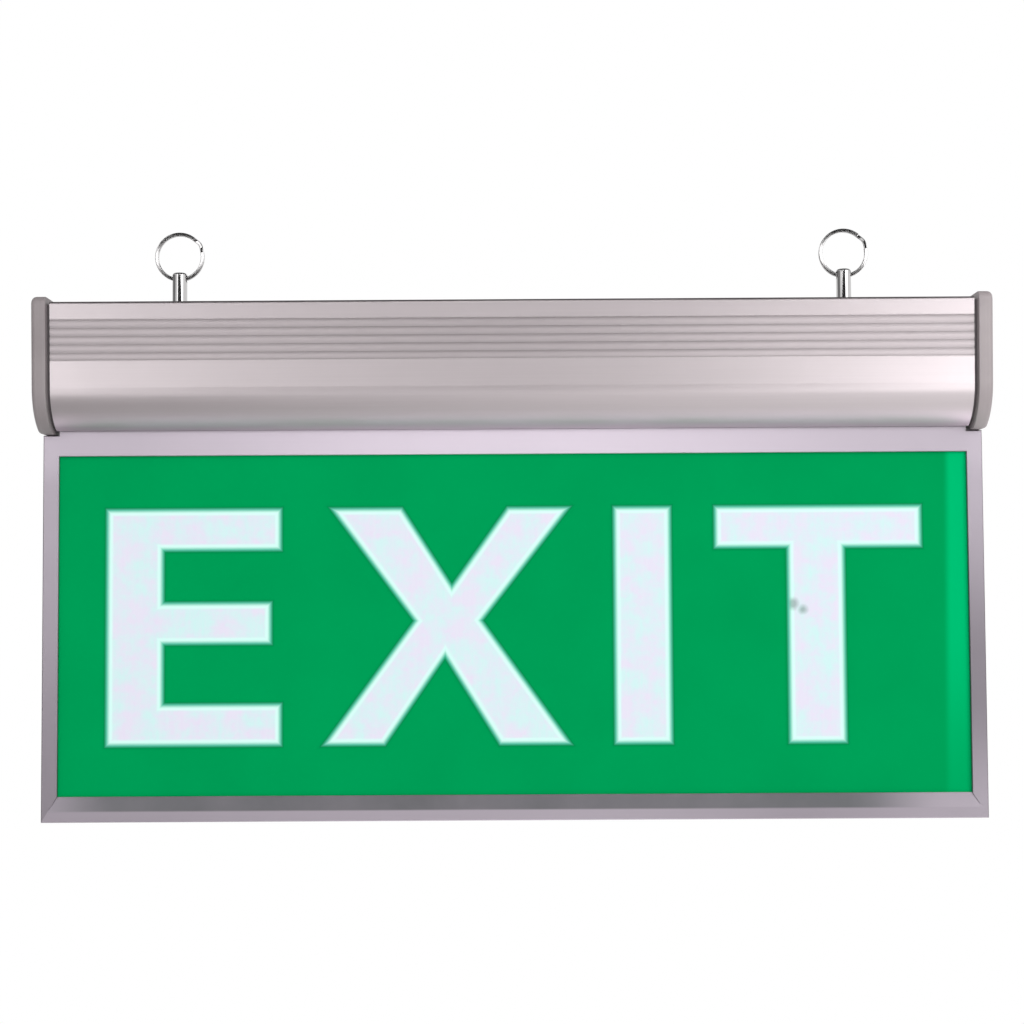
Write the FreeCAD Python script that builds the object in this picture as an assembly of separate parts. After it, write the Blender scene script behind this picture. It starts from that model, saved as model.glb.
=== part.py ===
"""Hanging emergency exit light: a ribbed aluminium housing with moulded end caps, carried by two
split rings on polished studs, over a framed, edge-lit legend panel.

Millimetres. X runs to the right as seen from the front, the legend faces -Y and +Z is up. The origin
is on the housing's flat top face, midway between the two hanging studs.
"""
import FreeCAD, Part
import math
import os

from FreeCAD import Vector

# ---- driving dimensions -------------------------------------------------------------------------
OVERALL_LENGTH = 360.0  # over the end caps
HOUSING_LENGTH = 346.4
HOUSING_HEIGHT = 47.6
TOP_HALF_DEPTH = 19.0
WAIST_HALF_DEPTH = 17.4  # where the flat side turns into the belly
WAIST_Z = -32.4
TOP_EDGE_RADIUS = 1.0
SLOT_HALF_WIDTH = 6.5  # the slot that the panel hangs through
WALL = 1.6

RIB_COUNT = 5
RIB_PITCH = 3.08
RIB_DEPTH = 0.34
RIB_BAND_TOP_Z = -6.8

RAIL_TOP_Z = -43.6  # the slot rails that the panel's head rests on
RAIL_HALF_WIDTH = 8.0
TRAY_THICKNESS = 1.2
TRAY_BOTTOM_Z = -31.9
TRAY_TOP_Z = TRAY_BOTTOM_Z + TRAY_THICKNESS
TRAY_HALF_WIDTH = 15.4
TRAY_START_X = -160.0
TRAY_END_X = 157.0

PORT_OUTER_RADIUS = 2.9
PORT_INNER_RADIUS = 1.45
PORT_SLIT_HALF = 0.7
PORT_SLIT_AIM_Z = -20.0  # every slit opens towards this height on the middle plane
UPPER_PORT = (14.6, -4.2)  # distance from the middle plane, height
LOWER_PORT = (12.0, -37.1)

CAP_PROUD = 1.9
CAP_BOTTOM_Z = -48.8
CAP_FACE = 2.4
CAP_ROUNDING = 2.0
CAP_EDGE = 0.4  # rounding along a cap's inner edge
CAP_GAP = 1.3  # the shadow gap between a cap and the housing
CAP_GAP_INSET = 1.1
SPIGOT_CLEARANCE = 0.3
SPIGOT_WALL = 1.4
SPIGOT_LENGTH = 6.0
CAP_POCKET_INSET = WALL + SPIGOT_CLEARANCE + SPIGOT_WALL
CAP_SCREW_HEAD = 2.8
CAP_SCREW_SHANK = 1.35
CAP_SCREW_SUNK = 0.5
CAP_SCREW_CONE = 1.4
CAP_SCREW_LENGTH = 16.0
CAP_SCREW_CROSS = (1.7, 0.3)  # half length and half width of a cross arm
CAP_SCREW_CROSS_DEPTH = 1.0
POST_Y = 9.5  # the right cap's two posts for the switch board
POST_Z = -20.0
POST_RADIUS = 2.3
DISH_RADIUS = 5.0
DISH_DEPTH = 0.8

STUD_X = 127.8
STUD_RADIUS = 2.85
STUD_TOP_Z = 13.8
STUD_HOLE_Z = 11.5
STUD_HOLE_RADIUS = 1.55
STUD_THREAD_RADIUS = 2.4
STUD_BOTTOM_Z = -9.0
STUD_DOME = 0.9
NUT_ACROSS_FLATS = 8.0
NUT_HEIGHT = 4.0
NUT_CHAMFER = 0.35
WASHER_RADIUS = 5.0
WASHER_THICKNESS = 1.0

RING_RADIUS = 8.8  # to the middle of the wire
WIRE_WIDTH = 1.3
WIRE_THICKNESS = 0.9
WIRE_EDGE = 0.2
TURN_GAP = 0.04
RING_SAG = 0.26  # how far the curve of the ring drops at the middle of the stud's hole
RING_Z = STUD_HOLE_Z - RING_SAG + RING_RADIUS
JOG_ANGLE = 31.0  # where the wire crosses from the front turn to the back turn
JOG_HALF_SPAN = 19.0
JOG_SWELL = 0.35

FRAME_HALF_WIDTH = 178.8
FRAME_TOP_Z = -49.1
FRAME_BOTTOM_Z = -195.7
FRAME_HALF_DEPTH = 4.5
FRAME_WALL = 1.4
SIDE_BAR_WIDTH = 6.0
BOTTOM_BAR_WIDTH = 9.6
WINDOW_TOP_Z = -57.1
STACK_HALF_DEPTH = 3.0
BEVEL_DROP = 0.7
FLAT_SHARE = 0.43  # the part of the bottom bar's width before its bevel
BAR_EDGE = 0.35
LIP_EDGE = 0.2
MITRE_REACH = 40.0
HEAD_HALF_LENGTH = 172.6
HEAD_HALF_WIDTH = 8.3
HEAD_THICKNESS = 1.8
NECK_HALF_WIDTH = 1.6
FLANGE_TOP_Z = -45.4

KEY_THICKNESS = 2.0
KEY_LEG = 14.0
KEY_HALF_DEPTH = 2.8
FRAME_SCREW_RADIUS = 1.1
FRAME_SCREW_HEAD = 2.2
FRAME_SCREW_SUNK = 0.15
FRAME_SCREW_CONE = 1.05
FRAME_SCREW_LENGTH = 3.2
FRAME_SCREW_OFFSET = 9.0
SCREW_PLAY = 0.1

LEGEND_THICKNESS = 0.8
GUIDE_THICKNESS = 4.0
REFLECTOR_THICKNESS = 0.4
STACK_SIDE_CLEARANCE = 0.3
LED_BOARD_HALF_LENGTH = 159.0
LED_BOARD_THICKNESS = 1.0
LED_HEIGHT = 0.8
LED_COUNT = 20

GROMMET_X = 15.0
GROMMET_BORE_RADIUS = 3.2
GROMMET_HOLE_RADIUS = 5.1
GROMMET_FLANGE_RADIUS = 6.6
GROMMET_FLANGE_HEIGHT = 1.4
GROMMET_BARB_RADIUS = 6.2
GROMMET_BARB_TIP_RADIUS = 5.4
GROMMET_BOTTOM_Z = -3.6
GROMMET_LEAD_IN = 0.5

BUTTON_Z = -24.0
BUTTON_RADIUS = 2.8
BUTTON_HOLE_RADIUS = 3.05
SWITCH_BOARD_X = 164.4
SWITCH_FACE_X = 169.8
PLUNGER_RADIUS = 1.6
PLUNGER_TAIL_X = 168.2
BUTTON_STEM_X = 172.0
BOARD_THICKNESS = 1.6
INDICATOR_Z = -13.0
INDICATOR_Y = 5.0
INDICATOR_RADIUS = 1.5

CELL_RADIUS = 7.3
CELL_LENGTH = 49.0
CELL_COUNT = 3
BATTERY_START_X = -152.0
BATTERY_Z = TRAY_TOP_Z + CELL_RADIUS + 1.3
BATTERY_CLIP_X = (-124.0, -30.0)
LEAD_HOLE_X = 161.1  # where the lamp leads pass up through the top bar
LEAD_HOLE_RADIUS = 1.4

CLAMP_X = (9.0, 19.0)
CLAMP_SPLIT_Z = -26.0
CLAMP_TOP_Z = -21.5
CLAMP_SCREW_Y = (-7.5, 7.5)
CABLE_RADIUS = 3.2

DRIVER_START_X = 30.0
DRIVER_LENGTH = 120.0
DRIVER_HALF_WIDTH = 13.5
STANDOFF_HEIGHT = 4.0
TERMINAL_X = (38.0, 48.0)
TERMINAL_SCREW_X = 44.0
TERMINAL_PITCH = 7.6
TERMINAL_HEIGHT = 12.0
FUSE_START_X = 53.0
FUSE_Y = -8.0
TRANSFORMER_X = 88.0
CAPACITOR_X = 106.0
CHIP_X = 120.0
PLUG_X = 136.0
DRIVER_TOP_Z = TRAY_TOP_Z + STANDOFF_HEIGHT + BOARD_THICKNESS
FUSE_Z = DRIVER_TOP_Z + 4.0

# ---- lengths worked out from them ---------------------------------------------------------------
HOUSING_END_X = HOUSING_LENGTH / 2
CAP_END_X = OVERALL_LENGTH / 2
CAP_FACE_INNER_X = CAP_END_X - CAP_FACE
GUIDE_TOP_Z = FRAME_TOP_Z - FRAME_WALL - LED_BOARD_THICKNESS - LED_HEIGHT - 0.3
STACK_BOTTOM_Z = FRAME_BOTTOM_Z + FRAME_WALL + KEY_THICKNESS
STACK_HALF_WIDTH = FRAME_HALF_WIDTH - FRAME_WALL - KEY_THICKNESS - STACK_SIDE_CLEARANCE

X_AXIS = Vector(1, 0, 0)
Y_AXIS = Vector(0, 1, 0)
Z_AXIS = Vector(0, 0, 1)
ORIGIN = Vector(0, 0, 0)


# ---- drawing helpers ----------------------------------------------------------------------------
def closed_face(start, steps, place):
    """A flat face: each step is an end point, or a pair (point passed through, end point) for an arc."""
    edges = []
    here = start
    for step in steps + [start]:
        if isinstance(step[0], tuple):
            through, end = step
            edges.append(Part.Arc(place(here), place(through), place(end)).toShape())
        else:
            end = step
            edges.append(Part.makeLine(place(here), place(end)))
        here = end
    return Part.Face(Part.Wire(edges))


def along_x(point):
    return Vector(0, point[0], point[1])


def block(x, y, z):
    """A box from three (low, high) pairs."""
    return Part.makeBox(x[1] - x[0], y[1] - y[0], z[1] - z[0], Vector(x[0], y[0], z[0]))


def rounded_block(x, y, z, radius, axis):
    """A box with the four edges along one axis rounded."""
    solid = block(x, y, z)
    edges = [e for e in solid.Edges if abs(e.tangentAt(e.FirstParameter).dot(axis)) > 0.99]
    return solid.makeFillet(radius, edges)


def rod(radius, start, axis, length):
    return Part.makeCylinder(radius, length, start, axis)


def turned(profile, base, axis, side):
    """A solid of revolution: profile points are (distance from the axis, distance along it)."""
    def place(point):
        return base + side * point[0] + axis * point[1]

    return closed_face(profile[0], profile[1:], place).revolve(base, axis, 360)


def mirrored_y(shape):
    return shape.fuse(shape.mirror(ORIGIN, Y_AXIS)).removeSplitter()


def joined(shapes):
    whole = shapes[0]
    for shape in shapes[1:]:
        whole = whole.fuse(shape)
    return whole.removeSplitter()


def without(solid, tools):
    for tool in tools:
        solid = solid.cut(tool)
    return solid


def group(solids):
    return Part.makeCompound(solids)


# ---- housing section ----------------------------------------------------------------------------
def side_depth(z):
    """Half depth of the housing's tapered side at a height."""
    return TOP_HALF_DEPTH + (WAIST_HALF_DEPTH - TOP_HALF_DEPTH) * z / WAIST_Z


def belly_arc(start, end):
    """The point halfway along the arc that leaves the tapered side smoothly and ends at the lip."""
    slope = Vector(TOP_HALF_DEPTH - WAIST_HALF_DEPTH, WAIST_Z, 0).normalize()
    normal = Vector(-slope.y, slope.x, 0)
    chord = Vector(end[0] - start[0], end[1] - start[1], 0)
    radius = chord.dot(chord) / (2 * normal.dot(chord))
    centre = Vector(start[0], start[1], 0) + normal * radius
    middle = Vector(start[0], start[1], 0) + chord * 0.5 - centre
    through = centre + middle.normalize() * abs(radius)
    return (through.x, through.y)


def front_half(inset, ribbed=False, bottom=None):
    """The front half of the housing's section, moved inwards by inset, closed at the middle plane."""
    top_z = -inset
    corner = max(TOP_EDGE_RADIUS - inset, 0.3)
    side_top = -(side_depth(top_z - corner) - inset)
    diagonal = corner * (1 - math.sqrt(0.5))
    waist = (-(WAIST_HALF_DEPTH - inset), WAIST_Z)
    lip = (-SLOT_HALF_WIDTH, -(HOUSING_HEIGHT - inset))
    steps = [(side_top + corner, top_z)]
    steps.append(((side_top + diagonal, top_z - diagonal), (side_top, top_z - corner)))
    if ribbed:
        steps.extend(rib_steps())
    steps.append(waist)
    steps.append((belly_arc(waist, lip), lip))
    steps.append((0.0, lip[1]))
    face = closed_face((0.0, top_z), steps, along_x)
    if bottom is None:
        return face
    deep = 2 * TOP_HALF_DEPTH
    below = Part.makePlane(deep * 2, deep, Vector(0, -deep, bottom - deep), X_AXIS, Y_AXIS)
    return face.cut(below)


def rib_steps():
    """Half-round ribs whose crests lie in the tapered side, with sharp valleys between them."""
    steps = [(-side_depth(RIB_BAND_TOP_Z), RIB_BAND_TOP_Z)]
    steps.append((RIB_DEPTH - side_depth(RIB_BAND_TOP_Z), RIB_BAND_TOP_Z))
    for index in range(RIB_COUNT):
        crest_z = RIB_BAND_TOP_Z - (index + 0.5) * RIB_PITCH
        valley_z = RIB_BAND_TOP_Z - (index + 1) * RIB_PITCH
        steps.append(((-side_depth(crest_z), crest_z), (RIB_DEPTH - side_depth(valley_z), valley_z)))
    end_z = RIB_BAND_TOP_Z - RIB_COUNT * RIB_PITCH
    steps.append((-side_depth(end_z), end_z))
    return steps


def section_solid(face, start_x, length):
    solid = face.extrude(X_AXIS * length)
    solid.translate(X_AXIS * start_x)
    return mirrored_y(solid)


def port_places():
    return [(side * y, z) for (y, z) in (UPPER_PORT, LOWER_PORT) for side in (-1, 1)]


def screw_port(y, z, slit_towards):
    """An open C channel along the extrusion that a thread-forming screw bites into."""
    start = Vector(-HOUSING_END_X, y, z)
    tube = rod(PORT_OUTER_RADIUS, start, X_AXIS, HOUSING_LENGTH)
    bore = rod(PORT_INNER_RADIUS, start, X_AXIS, HOUSING_LENGTH)
    opening = (-PORT_SLIT_HALF, PORT_SLIT_HALF)
    slit = block((-HOUSING_END_X, HOUSING_END_X), (0, 2 * PORT_OUTER_RADIUS), opening)
    slit.rotate(ORIGIN, X_AXIS, slit_towards)
    slit.translate(Vector(0, y, z))
    return tube, bore.fuse(slit)


def housing_shell():
    outer = section_solid(front_half(0.0, ribbed=True), -HOUSING_END_X, HOUSING_LENGTH)
    cavity = section_solid(front_half(WALL), -HOUSING_END_X, HOUSING_LENGTH)
    length = (-HOUSING_END_X, HOUSING_END_X)
    slot = block(length, (-SLOT_HALF_WIDTH, SLOT_HALF_WIDTH), (-HOUSING_HEIGHT - 1, RAIL_TOP_Z))
    shell = outer.cut(cavity)

    inner_side = side_depth(TRAY_BOTTOM_Z) - WALL / 2
    ledge_tip = TRAY_HALF_WIDTH - 2.2
    additions = [
        block(length, (-RAIL_HALF_WIDTH, -SLOT_HALF_WIDTH), (1.2 - HOUSING_HEIGHT, RAIL_TOP_Z)),
        block(length, (-inner_side, -ledge_tip), (TRAY_BOTTOM_Z - 1.5, TRAY_BOTTOM_Z - 0.1)),
        block(length, (-inner_side, -ledge_tip), (TRAY_TOP_Z + 0.3, TRAY_TOP_Z + 1.5)),
    ]
    shell = shell.fuse([mirrored_y(piece) for piece in additions])

    for y, z in port_places():
        towards = math.degrees(math.atan2(PORT_SLIT_AIM_Z - z, -y))
        tube, opening = screw_port(y, z, towards)
        shell = shell.fuse(tube.common(outer)).cut(opening)
    shell = shell.cut(slot)

    for x in (-STUD_X, STUD_X):
        shell = shell.cut(rod(STUD_THREAD_RADIUS + 0.2, Vector(x, 0, -5), Z_AXIS, 10))
    shell = shell.cut(rod(GROMMET_HOLE_RADIUS, Vector(GROMMET_X, 0, -5), Z_AXIS, 10))
    return shell.removeSplitter()


# ---- end caps -----------------------------------------------------------------------------------
def cap_plate():
    """The proud moulded plate of a cap on the +X end, rounded along its outer and inner edges."""
    start_x = HOUSING_END_X + CAP_GAP
    face = front_half(-CAP_PROUD, bottom=CAP_BOTTOM_Z)
    plate = section_solid(face, start_x, CAP_END_X - start_x)
    rim = [e for e in plate.Edges if e.BoundBox.XMin > CAP_END_X - 0.01]
    plate = plate.makeFillet(CAP_ROUNDING, rim)
    back = [e for e in plate.Edges if e.BoundBox.XMax < start_x + 0.01]
    return plate.makeFillet(CAP_EDGE, back)


def spigot():
    """The wall of the cap that plugs into the extrusion, left out over the slot and the channels."""
    start_x = HOUSING_END_X - SPIGOT_LENGTH
    outside = section_solid(front_half(WALL + SPIGOT_CLEARANCE), start_x, SPIGOT_LENGTH)
    inside = section_solid(front_half(CAP_POCKET_INSET), start_x, SPIGOT_LENGTH)
    wall = outside.cut(inside)
    span = (start_x, HOUSING_END_X)
    gaps = [block(span, (-RAIL_HALF_WIDTH - 1, RAIL_HALF_WIDTH + 1), (-HOUSING_HEIGHT, RAIL_TOP_Z + 4))]
    gaps.append(block(span, (-TOP_HALF_DEPTH, TOP_HALF_DEPTH), (TRAY_BOTTOM_Z - 2.1, TRAY_TOP_Z + 2.1)))
    for y, z in port_places():
        gaps.append(rod(PORT_OUTER_RADIUS + 0.6, Vector(start_x, y, z), X_AXIS, SPIGOT_LENGTH))
    return without(wall, gaps)


def cap_body():
    """One end cap before its openings: plate, shadow-gap step, spigot, pocket and screw bosses."""
    step = section_solid(front_half(CAP_GAP_INSET), HOUSING_END_X, CAP_GAP)
    pocket = section_solid(front_half(CAP_POCKET_INSET), HOUSING_END_X, CAP_FACE_INNER_X - HOUSING_END_X)
    body = cap_plate().fuse(step).cut(pocket)
    depth = CAP_END_X - HOUSING_END_X - CAP_FACE / 2
    for y, z in port_places():
        boss = rod(PORT_OUTER_RADIUS + 0.4, Vector(HOUSING_END_X, y, z), X_AXIS, depth)
        body = body.fuse(boss.common(section_solid(front_half(CAP_GAP_INSET), HOUSING_END_X, depth)))
    body = body.fuse(spigot())
    for y, z in port_places():
        body = body.cut(cap_screw_hole(y, z))
    return body.removeSplitter()


def cap_screw_hole(y, z):
    """The clearance hole of a cap screw, from just outside the cap's face to inside its boss."""
    head = CAP_SCREW_HEAD + SCREW_PLAY
    shank = CAP_SCREW_SHANK + 2.5 * SCREW_PLAY
    cone_end = -CAP_SCREW_SUNK - CAP_SCREW_CONE
    depth = 9.0
    profile = [(0.0, 0.3), (head, 0.3), (head, -CAP_SCREW_SUNK), (shank, cone_end), (shank, -depth), (0.0, -depth)]
    return turned(profile, Vector(CAP_END_X, y, z), X_AXIS, Y_AXIS)


def cap_screw(y, z):
    """A countersunk thread-forming screw with a cross recess, in the +X cap."""
    tip = -CAP_SCREW_SUNK - CAP_SCREW_LENGTH
    point_length = 1.5
    point_radius = 0.9
    profile = [
        (0.0, -CAP_SCREW_SUNK), (CAP_SCREW_HEAD, -CAP_SCREW_SUNK),
        (CAP_SCREW_SHANK, -CAP_SCREW_SUNK - CAP_SCREW_CONE), (CAP_SCREW_SHANK, tip + point_length),
        (point_radius, tip), (0.0, tip),
    ]
    screw = turned(profile, Vector(CAP_END_X, y, z), X_AXIS, Y_AXIS)
    recess_x = (CAP_END_X - CAP_SCREW_SUNK - CAP_SCREW_CROSS_DEPTH, CAP_END_X)
    for half_y, half_z in (CAP_SCREW_CROSS, CAP_SCREW_CROSS[::-1]):
        screw = screw.cut(block(recess_x, (y - half_y, y + half_y), (z - half_z, z + half_z)))
    return screw


def cap_screws():
    return [cap_screw(y, z) for y, z in port_places()]


def end_cap_left():
    return cap_body().mirror(ORIGIN, X_AXIS)


def end_cap_right():
    body = cap_body()
    for y in (-POST_Y, POST_Y):
        post_x = SWITCH_BOARD_X + BOARD_THICKNESS
        start = Vector(post_x, y, POST_Z)
        body = body.fuse(rod(POST_RADIUS, start, X_AXIS, CAP_FACE_INNER_X - post_x + CAP_FACE / 2))
        body = body.cut(rod(0.9, start, X_AXIS, 8.0))
    button_axis = Vector(CAP_FACE_INNER_X - 1, 0, BUTTON_Z)
    body = body.cut(rod(BUTTON_HOLE_RADIUS, button_axis, X_AXIS, CAP_FACE + 2))
    dish = turned(
        [(0.0, 0.5), (DISH_RADIUS + 0.5, 0.5), (DISH_RADIUS, 0.0), (DISH_RADIUS - DISH_DEPTH, -DISH_DEPTH),
         (0.0, -DISH_DEPTH)],
        Vector(CAP_END_X, 0, BUTTON_Z),
        X_AXIS,
        Y_AXIS,
    )
    body = body.cut(dish)
    for y in (-INDICATOR_Y, INDICATOR_Y):
        start = Vector(CAP_FACE_INNER_X - 1, y, INDICATOR_Z)
        body = body.cut(rod(INDICATOR_RADIUS + 0.1, start, X_AXIS, CAP_FACE + 2))
    return body.removeSplitter()


# ---- hanging studs and split rings --------------------------------------------------------------
def hanging_stud(x):
    """A turned stud with a domed head, a cross hole with rounded mouths and a threaded tail."""
    dome_z = STUD_TOP_Z - STUD_DOME
    cos45 = math.sqrt(0.5)
    shoulder = (STUD_RADIUS - STUD_DOME * (1 - cos45), dome_z + STUD_DOME * cos45)
    profile = [
        (0.0, STUD_BOTTOM_Z),
        (STUD_THREAD_RADIUS - 0.4, STUD_BOTTOM_Z),
        (STUD_THREAD_RADIUS, STUD_BOTTOM_Z + 0.4),
        (STUD_THREAD_RADIUS, 0.0),
        (STUD_RADIUS - 0.2, 0.0),
        (STUD_RADIUS, 0.2),
        (STUD_RADIUS, dome_z),
        (shoulder, (STUD_RADIUS - STUD_DOME, STUD_TOP_Z)),
        (0.0, STUD_TOP_Z),
    ]
    stud = turned(profile, Vector(x, 0, 0), Z_AXIS, X_AXIS)
    hole = rod(STUD_HOLE_RADIUS, Vector(x - 5, 0, STUD_HOLE_Z), X_AXIS, 10)
    return stud.cut(hole)


def stud_washer(x):
    disc = rod(WASHER_RADIUS, Vector(x, 0, -WALL - WASHER_THICKNESS), Z_AXIS, WASHER_THICKNESS)
    hole = rod(STUD_THREAD_RADIUS + 0.15, Vector(x, 0, -WALL - 5), Z_AXIS, 10)
    return disc.cut(hole)


def stud_nut(x):
    """A hexagon nut with its corners turned off on both faces."""
    bottom = Vector(x, 0, -WALL - WASHER_THICKNESS - NUT_HEIGHT)
    across_corners = NUT_ACROSS_FLATS / math.cos(math.radians(30)) / 2
    corners = [
        bottom + Vector(across_corners * math.cos(a), across_corners * math.sin(a), 0)
        for a in (math.radians(60 * k) for k in range(7))
    ]
    prism = Part.Face(Part.makePolygon(corners)).extrude(Z_AXIS * NUT_HEIGHT)
    flat = NUT_ACROSS_FLATS / 2
    lathe = turned(
        [(0.0, 0.0), (flat, 0.0), (across_corners, NUT_CHAMFER), (across_corners, NUT_HEIGHT - NUT_CHAMFER),
         (flat, NUT_HEIGHT), (0.0, NUT_HEIGHT)],
        bottom, Z_AXIS, X_AXIS,
    )
    bore = rod(STUD_THREAD_RADIUS + 0.03, bottom - Z_AXIS, Z_AXIS, NUT_HEIGHT + 2)
    return prism.common(lathe).cut(bore)


def wire_outline(swell, layer, angle):
    """The wire's eight-sided section on the ring, at an angle from +X, as points in space."""
    half_width = WIRE_WIDTH / 2
    half_thickness = WIRE_THICKNESS / 2
    section = [
        (-half_width, -half_thickness + WIRE_EDGE),
        (-half_width + WIRE_EDGE, -half_thickness),
        (half_width - WIRE_EDGE, -half_thickness),
        (half_width, -half_thickness + WIRE_EDGE),
        (half_width, half_thickness - WIRE_EDGE),
        (half_width - WIRE_EDGE, half_thickness),
        (-half_width + WIRE_EDGE, half_thickness),
        (-half_width, half_thickness - WIRE_EDGE),
    ]
    outward = Vector(math.cos(math.radians(angle)), 0, math.sin(math.radians(angle)))
    points = [outward * (RING_RADIUS + swell + r) + Y_AXIS * (layer + y) for r, y in section]
    return Part.makePolygon(points + [points[0]])


def split_ring(x):
    """A split ring: two flat turns of wire, joined where the wire jogs from the front turn to the back."""
    layer = (WIRE_THICKNESS + TURN_GAP) / 2
    start = JOG_ANGLE + JOG_HALF_SPAN
    sweep = 360 - 2 * JOG_HALF_SPAN
    front = Part.Face(wire_outline(0.0, -layer, start)).revolve(ORIGIN, -Y_AXIS, sweep)
    back = Part.Face(wire_outline(0.0, layer, start)).revolve(ORIGIN, -Y_AXIS, sweep)

    sections = []
    steps = 8
    for index in range(steps + 1):
        part = index / steps
        eased = part * part * (3 - 2 * part)
        swell = JOG_SWELL * math.sin(math.pi * part) ** 2
        angle = start - 2 * JOG_HALF_SPAN * (1 - part)
        sections.append(wire_outline(swell, layer * (2 * eased - 1), angle))
    jog = Part.makeLoft(sections, True, False)

    ring = front.fuse([back, jog]).removeSplitter()
    ring.translate(Vector(x, 0, RING_Z))
    return ring


# ---- panel frame --------------------------------------------------------------------------------
def bar_section(width, flat, drop, place):
    """Half-open section of a frame bar: outer wall, channel, and two lips, each flat and then sloping back."""
    front = FRAME_HALF_DEPTH
    tip = front - drop
    steps = [
        (BAR_EDGE, -front), (flat, -front), (width, -tip), (width, -STACK_HALF_DEPTH),
        (FRAME_WALL, -STACK_HALF_DEPTH), (FRAME_WALL, STACK_HALF_DEPTH),
        (width, STACK_HALF_DEPTH), (width, tip), (flat, front), (BAR_EDGE, front),
        (0.0, front - BAR_EDGE),
    ]
    return closed_face((0.0, BAR_EDGE - front), steps, place)


def mitred(bar, outer, inner, away):
    """Cut a bar at the mitre between two corners, taking away what lies in the direction given."""
    along = Vector(outer[0] - inner[0], 0, outer[1] - inner[1]).normalize() * MITRE_REACH
    first = Vector(inner[0], -MITRE_REACH, inner[1]) - along
    second = Vector(outer[0], -MITRE_REACH, outer[1]) + along
    beyond = away * MITRE_REACH
    corners = [first, second, second + beyond, first + beyond, first]
    return bar.cut(Part.Face(Part.makePolygon(corners)).extrude(Y_AXIS * 2 * MITRE_REACH))


def window_half_width():
    return FRAME_HALF_WIDTH - SIDE_BAR_WIDTH


def upper_corners(side):
    return (side * FRAME_HALF_WIDTH, FRAME_TOP_Z), (side * window_half_width(), WINDOW_TOP_Z)


def lower_corners(side):
    window_bottom = FRAME_BOTTOM_Z + BOTTOM_BAR_WIDTH
    return (side * FRAME_HALF_WIDTH, FRAME_BOTTOM_Z), (side * window_half_width(), window_bottom)


def frame_top_bar():
    """The top bar: the lamp channel below, and the neck and head that hang in the housing's slot."""
    width = FRAME_TOP_Z - WINDOW_TOP_Z

    def place(point):
        return Vector(-FRAME_HALF_WIDTH, point[1], FRAME_TOP_Z - point[0])

    face = bar_section(width, width - LIP_EDGE, LIP_EDGE, place)
    channel = face.extrude(X_AXIS * 2 * FRAME_HALF_WIDTH)
    for side in (-1, 1):
        outer, inner = upper_corners(side)
        channel = mitred(channel, outer, inner, X_AXIS * side)

    length = (-HEAD_HALF_LENGTH, HEAD_HALF_LENGTH)
    flange = block(length, (-FRAME_HALF_DEPTH, -STACK_HALF_DEPTH), (FRAME_TOP_Z - 1, FLANGE_TOP_Z))
    flange = flange.fuse(flange.mirror(ORIGIN, Y_AXIS))
    neck = block(length, (-NECK_HALF_WIDTH, NECK_HALF_WIDTH), (FRAME_TOP_Z - 1, RAIL_TOP_Z + 1))
    head = block(length, (-HEAD_HALF_WIDTH, HEAD_HALF_WIDTH), (RAIL_TOP_Z, RAIL_TOP_Z + HEAD_THICKNESS))
    bar = channel.fuse([flange, neck, head])
    bar = bar.cut(rod(LEAD_HOLE_RADIUS, Vector(LEAD_HOLE_X, 0, RAIL_TOP_Z + 5), -Z_AXIS, 12))
    return bar.removeSplitter()


def frame_side_bar(side):
    def place(point):
        return Vector(side * (FRAME_HALF_WIDTH - point[0]), point[1], FRAME_BOTTOM_Z)

    face = bar_section(SIDE_BAR_WIDTH, SIDE_BAR_WIDTH - LIP_EDGE, LIP_EDGE, place)
    bar = face.extrude(Z_AXIS * (FRAME_TOP_Z - FRAME_BOTTOM_Z))
    outer, inner = upper_corners(side)
    bar = mitred(bar, outer, inner, Z_AXIS)
    outer, inner = lower_corners(side)
    bar = mitred(bar, outer, inner, -Z_AXIS)
    for x, z, way in frame_screw_places():
        if way.x * side < 0:
            bar = bar.cut(frame_screw_hole(x, z, way))
    return bar


def frame_bottom_bar():
    """The bottom bar, whose lips slope back towards the window over more than half their width."""
    def place(point):
        return Vector(-FRAME_HALF_WIDTH, point[1], FRAME_BOTTOM_Z + point[0])

    face = bar_section(BOTTOM_BAR_WIDTH, BOTTOM_BAR_WIDTH * FLAT_SHARE, BEVEL_DROP, place)
    bar = face.extrude(X_AXIS * 2 * FRAME_HALF_WIDTH)
    for side in (-1, 1):
        outer, inner = lower_corners(side)
        bar = mitred(bar, outer, inner, X_AXIS * side)
    for x, z, way in frame_screw_places():
        if way.z > 0:
            bar = bar.cut(frame_screw_hole(x, z, way))
    return bar


def frame_screw_places():
    """Position on the frame's outer edge and driving direction of each corner screw."""
    places = []
    for side in (-1, 1):
        inward = -X_AXIS * side
        places.append((side * FRAME_HALF_WIDTH, FRAME_TOP_Z - FRAME_SCREW_OFFSET, inward))
        places.append((side * FRAME_HALF_WIDTH, FRAME_BOTTOM_Z + FRAME_SCREW_OFFSET, inward))
        places.append((side * (FRAME_HALF_WIDTH - FRAME_SCREW_OFFSET), FRAME_BOTTOM_Z, Z_AXIS))
    return places


def frame_screw_hole(x, z, way):
    head = FRAME_SCREW_HEAD + SCREW_PLAY
    shank = FRAME_SCREW_RADIUS + SCREW_PLAY
    cone_end = FRAME_SCREW_SUNK + FRAME_SCREW_CONE
    depth = 4.0
    profile = [(0.0, -0.5), (head, -0.5), (head, FRAME_SCREW_SUNK), (shank, cone_end), (shank, depth), (0.0, depth)]
    return turned(profile, Vector(x, 0, z), way, Y_AXIS)


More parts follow.
